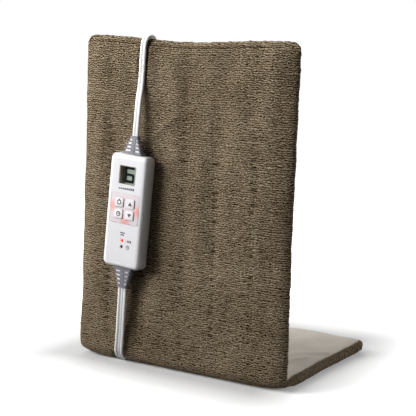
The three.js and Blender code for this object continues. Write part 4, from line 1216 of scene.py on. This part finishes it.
    def close(self, bm: Shape, layers: list) -> None:
        """Roll the edge over to the lining's side and close the back.

        Args:
            bm: The outer face.
            layers: Vertex layers of the unfolded places and the nap's painted-shade mask.
        """
        form = self.form
        middle, reach = form.span
        cloth = bm.verts.layers.float_vector["cloth"]
        edges, ring = [e for e in bm.edges if e.is_boundary], []
        for inwards, r in self.rim:
            made = bmesh.ops.extrude_edge_only(bm, edges=edges)["geom"]
            edges = [g for g in made if isinstance(g, bmesh.types.BMEdge)]
            ring = [g for g in made if isinstance(g, bmesh.types.BMVert)]
            x, q = (np.array([v[layer] for v in ring]) for layer in layers[:2])
            half, corner = form.half_at(q), form.corner_at(q)
            side = np.maximum(np.abs(x) - half + corner, 0)
            end = np.maximum(np.abs(q - middle) - reach + corner, 0)
            size = np.maximum(np.hypot(side, end), 1e-6)
            out_x, out_q = np.sign(x) * side / size, np.sign(q - middle) * end / size
            last = (inwards, r) == self.rim[-1]
            flat_end = (np.abs(np.abs(q - middle) - reach) < 1e-3) & last
            bow = np.where(flat_end, 2 * (1 - (x / (half - corner)) ** 2), 0)
            bow = np.sign(q - middle) * bow
            fuzz = 0.0 if last else 1.3 * rough(x + 3 * r, q + 3 * r, (4.5, 4.5), 81.1)
            loosen = 1 - fuzz / max(abs(inwards), 0.5)
            lies = form.lies(q) * np.clip((inwards + 0.5) / 1.5, 0, 1)
            height = r - lies * (2.0 - 4.0 * end / size)
            height = height + (0.0 if last else 0.5 * rough(x + 2 * r, q, (5, 5), 91.7))
            gone = form.radius - self.roll - r + max(inwards, 0)
            to_x, to_q = -out_x * inwards * loosen, (bow - out_q * inwards) * loosen
            places = form.place(x + to_x, q + to_q, height)
            for vert, point, *spot in zip(ring, places, x + out_x * gone, q + out_q * gone):
                vert.co = point
                vert[cloth] = Vector((spot[0], 0, spot[1])) * MM
                vert[layers[2]] = self.rim_nap_shade
        halves = [
            {v for v in ring if v[layers[0]] * hand > 0 and self.on_side(v, layers)}
            for hand in (-1, 1)
        ]
        sides = [e for e in edges if any(all(v in half for v in e.verts) for half in halves)]
        bmesh.ops.bridge_loops(bm, edges=sides)
        fill(bm)

    def on_side(self, vert: bmesh.types.BMVert, layers: list) -> bool:
        """Tell long sides from ends.

        Args:
            vert: A vertex of the outline.
            layers: Vertex layers of the unfolded places.

        Returns:
            Whether it belongs to a long side.
        """
        form = self.form
        x, q = vert[layers[0]], vert[layers[1]]
        on_end = abs(q - form.far) < 1e-3 or abs(q - form.panel) < 1e-3
        return not on_end or abs(abs(x) - form.half_at(q) + form.corner_at(q)) < 1e-2


@dataclass
class LiningSheet:
    """The smooth lining on the inner face, tucked under the rolled plush edge all round."""

    form: PadForm
    columns: int = 70
    rows: int = 65  # on each leaf
    fold_rows: int = 16
    edge: float = 4.3
    depth: float = 2.0
    thickness: float = 1.0
    panel_crown: float = 1.5
    flap_crown: float = 7.0
    creases: tuple[Fold, ...] = (
        (104, -90, 142, -144, 1.6, 4), (116, -68, 131, -108, 1.6, 4), (60, -134, 96, -174, 1.4, 5),
    )  # both ends across and along, height and width

    def build(self, finish: Paint) -> None:
        """Make the lining, bent over the fold.

        Args:
            finish: The lining's cloth.
        """
        form = self.form
        rows = np.concatenate([
            np.linspace(form.far + self.edge, -form.arc, self.rows, endpoint=False),
            np.linspace(-form.arc, 0, self.fold_rows, endpoint=False),
            np.linspace(0, form.panel - self.edge, self.rows),
        ])
        unit = np.sin(np.linspace(-math.pi / 2, math.pi / 2, self.columns + 1))
        x = np.outer(form.row_half(rows, self.edge), unit).ravel()
        q = np.repeat(rows, len(unit))
        bm = grid(form.place(x, q, self.height(x, q)).reshape(len(rows), len(unit), 3))
        outwards(bm)
        bmesh.ops.solidify(bm, geom=bm.faces[:], thickness=self.thickness)
        outwards(bm)
        lining = smooth_object(bm, "lining_sheet", finish, sharp=70)
        drape(lining, Slot.LINING, form.fold_line(), "lining_panel", "lining_flap")

    def height(self, x: Row, q: Row) -> Row:
        """The lining over the fold's axis: it swells inwards over the wadding.

        Args:
            x: Places across.
            q: Places along.

        Returns:
            Heights outwards from the axis, so less is further out of the inner face.
        """
        form = self.form
        panel = np.clip(q / form.panel, 0, 1)
        flap = np.clip((-q - form.arc) / form.flap, 0, 1)
        crown = self.panel_crown * np.sin(math.pi * panel)
        crown = crown + self.flap_crown * (1 - np.abs(2 * flap - 1) ** 4)
        crown = crown * (1 - np.abs(x / form.half_at(q)) ** 5) + folds(x, q, self.creases)
        tuck = np.clip(form.inset(x, q) - self.edge, 0, 4) / 4
        wave = 0.9 * rough(x, q, (60, 45), 71.3) + 0.4 * rough(x, q, (24, 20), 77.9)
        return self.depth + 1.2 * (1 - tuck) ** 2 - crown + wave * tuck


@dataclass
class Controller:
    """The hand controller: case, display, keypad with four buttons, lamps and cord boots."""

    paint: dict[str, Paint]  # by finish name
    at: Point = (-67.6, -17.3, 178.6)
    tilt: float = math.radians(-4)
    width: float = 56.0
    height: float = 140.0
    depth: float = 18.0
    corner: float = 7.0
    rim: float = 5.0
    rear_rim: float = 3.5
    wall: float = 2.0
    parting: float = 8.0
    label: Pair = (45.0, 129.0)
    label_face: float = 18.12
    plate: Pair = (34.0, 46.0)  # the shallow recess in the rear
    screw: Pair = (22.5, 61.5)
    window: Pair = (25.0, 23.0)
    window_y: float = 44.7
    bezel: Pair = (13.7, 17.7)  # its lower and upper end
    bezel_mouth: tuple[float, ...] = (-11.6, 11.6, 11.0, 18.2)  # left, right, half height and z
    bezel_foot: tuple[float, ...] = (-9.8, 11.3, 10.7, 13.0)
    digit_z: float = 12.2
    keypad: Pair = (43.0, 37.0)
    keypad_y: float = 3.5
    button: Pair = (13.2, 12.0)
    button_corner: float = 2.2
    button_step: Pair = (8.25, 7.2)
    button_ends: Pair = (13.5, 19.1)
    lamp_radius: float = 2.0
    lamps: Pair = (-35.8, -43.4)
    lens: tuple[Pair, ...] = (
        (0, 18.5), (0.8, 18.4), (1.5, 18.05), (1.9, 17.5), (2.0, 16.8), (2.0, 14.4),
    )  # the lamp's outline
    # where a painted glow warms the keypad film
    glows: tuple[Pair, ...] = ((20.5, 2.0), (-20.5, 5.0), (2.0, -13.5))
    digit: tuple[tuple[float, float, float, float], ...] = (
        (-1.0, 8.6, 13.6, 3.4), (-1.0, 0.2, 13.6, 3.2), (-1.0, -8.2, 13.6, 3.4),
        (-6.6, 4.4, 3.6, 8.6), (-6.6, -4.0, 3.6, 8.6), (4.6, -4.0, 3.6, 8.6),
    )  # middle, width and height of each bar that shows
    boot_start: float = 70.3
    boots: tuple[tuple[str, int, float, float, float], ...] = (
        ("boot_upper", 1, 31.0, 11.5, 22.0), ("boot_lower", -1, 29.0, 15.0, 26.0),
    )  # side, width where it starts and ends, and length
    boot_depth: Pair = (11.0, 6.4)  # where it starts and ends
    boot_edge: float = 2.2
    slits: int = 4  # on each side of a boot
    slit: Point = (12.6, 20.0, 2.2)  # its middle aside, its width and its height
    core_depth: Pair = (8.8, 4.8)  # of the sheath in a boot, where it starts and ends
    core_edge: float = 1.6
    core_share: Pair = (0.8, 0.98)  # of the boot's width and length
    level_bars: int = 8
    level_at: Pair = (-10.5, 27.0)  # the first bar's middle, and the foot of them all
    level_step: float = 3.0
    level_bar: Pair = (2.1, 1.5)  # width of each, and height of the first
    level_rise: float = 0.22  # from each bar to the next

    @property
    def place(self) -> Matrix:
        """Where the controller's own frame lies in the world."""
        return on_panel(self.at) @ Matrix.Rotation(self.tilt, 4, "Z")

    def add(
        self, bm: Shape, name: str, finish: Paint, slot: Slot, *nodes: str,
        body: Body = Body.PANEL, sharp: float = 38.0,
    ) -> None:
        """Put a shape in place on the controller.

        Args:
            bm: The shape in the controller's frame.
            name: The piece's name.
            finish: Its material.
            slot: Its finish in the record.
            nodes: The solids that it stands for.
            body: What it moves with.
            sharp: Edges that bend by more than this stay crisp.
        """
        claim(smooth_object(bm, name, finish, self.place, sharp), body, slot, *nodes)

    def build(self) -> None:
        """Make all of the controller that shows."""
        self.build_case()
        self.build_display()
        self.build_keys()
        self.build_lamps()
        self.build_boots()

    def button_centres(self) -> dict[Body, Pair]:
        """Middles of the four buttons by the key that they are.

        Returns:
            Places on the case's face.
        """
        x, step = self.button_step
        up, down = self.keypad_y + step, self.keypad_y - step
        return {
            Body.POWER: (-x, up), Body.WARMER: (x, up), Body.TIMER: (-x, down),
            Body.COOLER: (x, down),
        }

    def button_holes(self) -> list[Shape]:
        """Make the shapes of the buttons' openings."""
        size, spots = [side + 0.7 for side in self.button], self.button_centres().values()
        return [slab(*size, 5, 30, self.button_corner, centre=spot) for spot in spots]

    def openings(self) -> list[Shape]:
        """Make the shapes of the window's, buttons', lamps' and keypad's openings.

        Returns:
            Blocks through the case's face.
        """
        window = slab(*self.window, 5, 30, 1.5, centre=(0, self.window_y))
        lamps = [self.peg(0, y, self.lamp_radius + 0.25, 8, 30) for y in self.lamps]
        sunk = [side + 0.6 for side in self.keypad]
        recess = slab(*sunk, 17.0, 30, 3.0, centre=(0, self.keypad_y))
        return [window, *self.button_holes(), *lamps, recess]

    def peg(self, x: float, y: float, radius: float, low: float, high: float) -> Shape:
        """Make a round post that stands off the face.

        Args:
            x: Its middle across the case.
            y: Its middle along the case.
            radius: Its radius.
            low: Its lower end.
            high: Its upper end.

        Returns:
            The post.
        """
        post = bmesh.new()
        bmesh.ops.create_cone(
            post, cap_ends=True, segments=32, radius1=radius, radius2=radius, depth=high - low,
            matrix=Matrix.Translation((x, y, (low + high) / 2)),
        )
        return post

    def build_case(self) -> None:
        """Make the front and rear shells and the label round the display and keypad."""
        inner = (self.width - 2 * self.wall, self.height - 2 * self.wall)
        tight = self.corner - self.wall
        front = slab(self.width, self.height, self.parting + 0.3, self.depth, self.corner, self.rim)
        front = carve(front, slab(*inner, 0, self.depth - self.wall, tight), *self.openings())
        self.add(front, "case_front_shell", self.paint["white_shell"], Slot.SHELL, "case_front")
        label = slab(*self.label, self.depth + 0.01, self.label_face, 3.0)
        label = carve(label, *self.openings())
        self.add(label, "case_front_label", self.paint["label"], Slot.SHELL)
        rear = slab(self.width, self.height, -self.parting, 0, self.corner, self.rear_rim)
        sinks = [slab(*inner, -30, -self.wall, tight), slab(*self.plate, -0.4, 5, 2.0)]
        for x, y in itertools.product(*((-side, side) for side in self.screw)):
            sinks.append(self.peg(x, y, 3.0, -2.7, 5))
        rear = carve(rear, *sinks)
        bmesh.ops.scale(rear, vec=(1, 1, -1), verts=rear.verts)
        outwards(rear)
        self.add(rear, "case_rear_shell", self.paint["white_shell"], Slot.SHELL, "case_rear")

    def build_display(self) -> None:
        """Make the bezel's sloped walls, the digit and the row of level marks below."""
        wide, tall = (side - 0.4 for side in self.window)
        bezel = slab(wide, tall, *self.bezel, 1.4, centre=(0, self.window_y))
        hole = block((0, 0, 0), (1, 1, 1))
        for vert in hole.verts:
            left, right, high, z = self.bezel_mouth if vert.co.z > 0 else self.bezel_foot
            y = self.window_y + math.copysign(high, vert.co.y)
            vert.co = (left if vert.co.x < 0 else right, y, z)
        # the bezel is the white shell, painted darker as the shade inside the window
        self.add(
            carve(bezel, hole), "display_bezel_frame", self.paint["bezel"], Slot.SHELL,
            "display_bezel", sharp=25,
        )
        digit = bmesh.new()
        for x, y, wide, tall in self.digit:
            block((x, y + self.window_y, self.digit_z), (wide, tall, 0.14), digit)
        bevel(digit, [e for e in digit.edges if e.calc_length() < 0.2], 0.9, 2)
        self.add(digit, "display_digit", self.paint["digit"], Slot.LCD)
        marks = bmesh.new()
        (first, foot), (wide, tall) = self.level_at, self.level_bar
        for step in range(self.level_bars):
            high = tall + self.level_rise * step
            self.bar(marks, (first + self.level_step * step, foot + high / 2), (wide, high))
        self.print_marks(marks, "level_marks")

    def bar(self, bm: Shape, centre: Pair, size: Pair, base: float = label_face) -> None:
        """Add a flat printed bar to a shape, on a face at some height."""
        block((*centre, base + 0.03), (*size, 0.05), bm)

    def ring(
        self, bm: Shape, centre: Pair, radius: float, stroke: float, base: float = label_face
    ) -> None:
        """Add a flat printed ring to a shape, on a face at some height."""
        inner, low, high = radius - stroke, base + 0.01, base + 0.06
        turned(bm, [(inner, low), (radius, low), (radius, high), (inner, high)], centre, 28, True)

    def arrow(self, bm: Shape, centre: Pair, rise: float, base: float) -> None:
        """Add a flat printed triangle.

        Args:
            bm: The shape to add to.
            centre: Its middle.
            rise: Its height, negative to point down.
            base: The height of the face that it is printed on.
        """
        x, y = centre
        corners = [(x - 3.0, y - rise / 2), (x + 3.0, y - rise / 2), (x, y + rise / 2)]
        face = bm.faces.new([bm.verts.new((*corner, base + 0.01)) for corner in corners])
        made = bmesh.ops.extrude_face_region(bm, geom=[face])["geom"]
        top = [g for g in made if isinstance(g, bmesh.types.BMVert)]
        bmesh.ops.translate(bm, vec=(0, 0, 0.05), verts=top)

    def print_marks(self, bm: Shape, name: str, body: Body = Body.PANEL) -> None:
        """Put printed marks in place.

        Args:
            bm: The marks.
            name: The piece's name.
            body: What they move with.
        """
        merge(bm)
        outwards(bm)
        self.add(bm, name, self.paint["print"], Slot.DARK, body=body)

    def build_keys(self) -> None:
        """Make the keypad's film and the four buttons with their marks."""
        lit = tuple(tuple(self.place @ Vector((x, y, self.depth)) * MM) for x, y in self.glows)
        film = FilmFinish("keypad_film_pink", "#e9dde1", "#dfd0d5", 9, 0.5, 0.01, lamps=lit)
        sheet = slab(*self.keypad, 17.3, 18.2, 2.8, 0.3, centre=(0, self.keypad_y))
        sheet = carve(sheet, *self.button_holes())
        self.add(sheet, "keypad_film_sheet", film.material(), Slot.FILM, "keypad_film")
        top = self.button_ends[1]
        for key, (x, y) in self.button_centres().items():
            cap = slab(*self.button, *self.button_ends, self.button_corner, 1.2, centre=(x, y))
            node = "button_" + key.value.removesuffix("_key")
            self.add(cap, key.value + "_cap", self.paint["button"], Slot.SHELL, node, body=key)
            marks = bmesh.new()
            if key in (Body.POWER, Body.TIMER):
                self.ring(marks, (x, y), 3.2, 1.1, top)
            if key == Body.POWER:
                self.bar(marks, (x, y + 2.9), (1.1, 2.6), top)
            elif key == Body.TIMER:
                self.bar(marks, (x, y + 0.8), (0.9, 2.2), top)
                self.bar(marks, (x + 0.8, y), (2.2, 0.9), top)
            else:
                self.arrow(marks, (x, y), 4.6 if key == Body.WARMER else -4.6, top)
            self.print_marks(marks, key.value + "_mark", key)

    def build_lamps(self) -> None:
        """Make the two lamps' lenses and the marks beside them."""
        for y, word, slot in zip(self.lamps, ("on", "timer"), (Slot.RED_LAMP, Slot.DARK_LAMP)):
            lens = bmesh.new()
            turned(lens, self.lens, (0, y), 32)
            merge(lens)
            fill(lens)
            outwards(lens)
            self.add(lens, f"lamp_{word}_lens", self.paint[slot.value], slot, f"lamp_{word}")
        marks = bmesh.new()
        upper, lower = self.lamps
        for step in range(3):
            self.bar(marks, (8.4 + 2.3 * step, upper), (1.6, 2.0 + 0.6 * step))
        self.ring(marks, (9.4, lower), 2.5, 0.8)
        self.bar(marks, (9.4, lower + 0.6), (0.7, 1.6))
        self.bar(marks, (10.0, lower), (1.6, 0.7))
        self.bar(marks, (0, upper + 9.4), (7.6, 1.3))
        self.bar(marks, (0, upper + 6.9), (5.6, 1.3))
        self.print_marks(marks, "lamp_marks")

    def build_boots(self) -> None:
        """Make the ribbed strain relief boots and the sheath that shows between their ribs."""
        start, (aside, reach, thick) = self.boot_start, self.slit
        for name, side, *widths, length in self.boots:
            ends = zip(widths, self.boot_depth)
            boot = tapered(*ends, start, start + length, self.boot_edge)
            pitch = length / (self.slits + 1)
            slits = [
                block((hand * aside, start + step * pitch, 0), (reach, thick, reach))
                for step, hand in itertools.product(range(1, self.slits + 1), (-1, 1))
            ]
            share, end = self.core_share[0], start + self.core_share[1] * length
            ends = zip((share * width for width in widths), self.core_depth)
            core = tapered(*ends, start, end, self.core_edge)
            pieces = (
                (carve(boot, *slits), "_ribbed", Slot.RUBBER, [name]),
                (core, "_sheath", Slot.CORD, []),
            )
            for shape, word, slot, nodes in pieces:
                bmesh.ops.translate(shape, vec=(0, 0, self.parting), verts=shape.verts)
                bmesh.ops.scale(shape, vec=(1, side, 1), verts=shape.verts)
                outwards(shape)
                self.add(shape, name + word, self.paint[slot.value], slot, *nodes)


@dataclass
class PadPlug:
    """The connector at the pad's back: a socket sewn into the lining and the lead's plug in it."""

    at: Point = (-63.0, 5.75, 0.0)
    socket: Point = (31.0, 36.0, 12.0)
    socket_middle: float = 236.0
    grip: Point = (28.0, 24.0, 11.0)
    grip_middle: float = 266.3
    neck_end: float = 300.3

    def build(self, paint: dict[str, Paint]) -> list[Piece]:
        """Make the socket and the plug.

        Args:
            paint: The materials by finish name.

        Returns:
            The pieces that belong to the lead.
        """
        place = on_panel(self.at) @ Matrix.Rotation(math.pi, 4, "Y")
        wide, tall, deep = self.socket
        middle = (0, self.socket_middle)
        socket = slab(wide, tall, -deep / 2, deep / 2, 3.0, 2.0, middle)
        socket = carve(socket, slab(wide - 9, tall - 16, deep / 2 - 0.5, deep, 2.0, 0, middle))
        wide, tall, deep = self.grip
        grip = slab(wide, tall, -deep / 2, deep / 2, 3.0, 2.0, (0, self.grip_middle))
        grip = carve(grip, *ribs(17, np.linspace(-6, 6, 5) + self.grip_middle, [deep / 2]))
        start = self.grip_middle + tall / 2 - 1
        neck = tapered((22.0, 9.4), (12.7, 7.6), start, self.neck_end, 2.0)
        neck = carve(neck, *ribs(30, np.linspace(start + 5, self.neck_end - 3, 4), [-4.6, 4.6]))
        made = []
        for shape, node in ((socket, "pad_socket"), (joined(grip, neck), "pad_plug")):
            piece = smooth_object(shape, node + "_body", paint["grey_rubber"], place)
            made.append(claim(piece, Body.PANEL, Slot.RUBBER, node))
        return made[1:]


@dataclass
class MainsPlug:
    """The mains plug, its blades and the tie round the coil."""

    at: Point = (-205.4, 30.2, 8.3)
    body: Point = (26.0, 32.0, 16.0)
    blade: Point = (2.1, 15.0, 6.9)  # with its clearance
    blade_spacing: float = 12.7
    neck_end: float = 56.0
    solids: tuple[str, ...] = ("plug_blade_left", "plug_blade_right", "cord_tie")

    def build(self, paint: dict[str, Paint]) -> list[Piece | str]:
        """Make the plug's body.

        Args:
            paint: The materials by finish name.

        Returns:
            The pieces that belong to the lead.
        """
        tall, deep = self.body[1:]
        grip = block((0, tall / 2, 0), self.body)
        bevel(grip, grip.edges[:], 3.2, 5)
        cutters = ribs(14, np.linspace(9, 25, 6), [deep / 2, -deep / 2])
        for side in (-1, 1):
            cutters.append(block((side * self.blade_spacing / 2, 0, 0), self.blade))
        neck = tapered((20.0, 11.0), (16.5, 7.6), tall - 1, self.neck_end, 2.2)
        neck = carve(neck, *ribs(30, np.linspace(tall + 5, self.neck_end - 4, 4), [-5.2, 5.2]))
        shape, place = joined(carve(grip, *cutters), neck), Matrix.Translation(self.at)
        plug = smooth_object(shape, "mains_plug_body", paint["white_shell"], place)
        return [claim(plug, Body.PANEL, Slot.SHELL, "mains_plug"), *self.solids]


@dataclass(frozen=True)
class Lamp:
    """A round soft lamp."""

    name: str
    place: Point  # m
    aim: Point  # m
    size: float  # m
    power: float  # W
    spread: float = 180.0  # degrees that its light fills

    def build(self) -> None:
        """Hang it."""
        data = bpy.data.lights.new(self.name, "AREA")
        data.energy, data.shape, data.size = self.power, "DISK", self.size
        data.spread = math.radians(self.spread)
        hang(self.name, data, self.place, self.aim)


@dataclass
class Studio:
    """Plain soft light and a white floor."""

    lamps: tuple[Lamp, ...] = (
        Lamp("key_light", (-1.0, -0.78, 0.98), (0.05, -0.09, 0.58), 1.4, 11.6, 72.0),
        Lamp("back_light", (-0.70, 0.55, 1.15), (0.0, -0.08, 0.2), 1.2, 7.5),
        Lamp("side_light", (1.6, 0.10, 0.31), (0.1, 0.0, 0.15), 0.5, 2.6),
    )
    ambient: float = 0.05
    dull: Pair = (-0.16, -0.06)  # m; along y, the floor in front throws back little light
    shade_middle: Point = (-0.03, 0.01, 0.0)  # m; the box that keeps its shadows
    shade_half: Point = (0.146, 0.13, 0.0)  # m
    shade_fade: float = 0.12  # m; past the box, the floor fades to plain white

    def build(self) -> None:
        """Make the lamps, the surroundings and the floor."""
        bpy.context.scene.view_settings.view_transform = "Standard"
        for lamp in self.lamps:
            lamp.build()
        self.surroundings()
        self.floor()

    def seen(self, tree: Tree) -> Socket:
        """Whether a ray shows the surroundings to the eye.

        Args:
            tree: The nodes to add to.

        Returns:
            Above 0 for camera, glossy and transmission rays.
        """
        seen = add_node(tree, "LightPath", out="Is Camera Ray")
        for kind in ("Is Glossy Ray", "Is Transmission Ray"):
            ray = add_node(tree, "LightPath", out=kind)
            seen = add_node(tree, "Math", {0: seen, 1: ray}, operation="MAXIMUM")
        return seen

    def surroundings(self) -> None:
        """Light from all sides that looks white."""
        world = bpy.data.worlds.new("studio")
        bpy.context.scene.world = world
        world.use_nodes = True
        tree = world.node_tree
        level = remap(tree, self.seen(tree), (0.0, 1.0), (self.ambient, 1.0))
        feed(tree.nodes["Background"], {"Color": (1, 1, 1, 1), "Strength": level})

    def floor(self) -> None:
        """A wide floor, white to the eye, that throws little light at the pad's front."""
        paint = bpy.data.materials.new("floor_white")
        paint.use_nodes = True
        tree = paint.node_tree
        seen = self.seen(tree)
        place = add_node(tree, "TexCoord", out="Object")
        depth = add_node(tree, "SeparateXYZ", {0: place}, "Y")
        thrown = mixed(tree, remap(tree, depth, self.dull), "#262626", "#dcdcdc")
        past, zero = place, (0.0, 0.0, 0.0)
        for kind, value in (
            ("SUBTRACT", self.shade_middle), ("ABSOLUTE", zero), ("SUBTRACT", self.shade_half),
            ("MAXIMUM", zero),
        ):
            past = add_node(tree, "VectorMath", {0: past, 1: value}, operation=kind)
        away = add_node(tree, "VectorMath", {0: past}, "Value", operation="LENGTH")
        lift = remap(tree, away, (0.0, self.shade_fade))
        feed(tree.nodes["Principled BSDF"], {
            "Base Color": mixed(tree, seen, thrown, "#e8e8e8"),
            "Roughness": 0.9, "Specular IOR Level": 0.0, "Emission Color": (1, 1, 1, 1),
            "Emission Strength": add_node(tree, "Math", {0: lift, 1: seen}, operation="MULTIPLY"),
        })
        bm = bmesh.new()
        bmesh.ops.create_grid(bm, x_segments=8, y_segments=8, size=6000)
        smooth_object(bm, "floor", paint, Matrix.Translation((0, 0, -0.05)))


def dress_solids(paint: dict[str, Paint]) -> None:
    """Give each solid that still shows its finish, by the record's material slot.

    Args:
        paint: The materials by finish name.
    """
    for part in frame["record"]["subparts"]:
        materials, slot = frame["nodes"][part["node"]].data.materials, part["material_slot"]
        materials.clear()
        materials.append(paint[SAME_FINISH.get(slot, slot)])


def main() -> None:
    """Build the pad, its cords and its controller, and light them."""
    logging.basicConfig(level=logging.INFO, format="%(name)s: %(message)s")
    PhotoCamera().build()
    paint = {name: finish.material() for name, finish in FINISHES.items()}
    Cords().build(PadPlug().build(paint), MainsPlug().build(paint), paint["white_cord"])
    dress_solids(paint)
    form = PadForm()
    PlushCover(form).build(paint["plush"])
    LiningSheet(form).build(paint["lining"])
    Controller(paint).build()
    Studio().build()


if __name__ == "__main__":
    main()
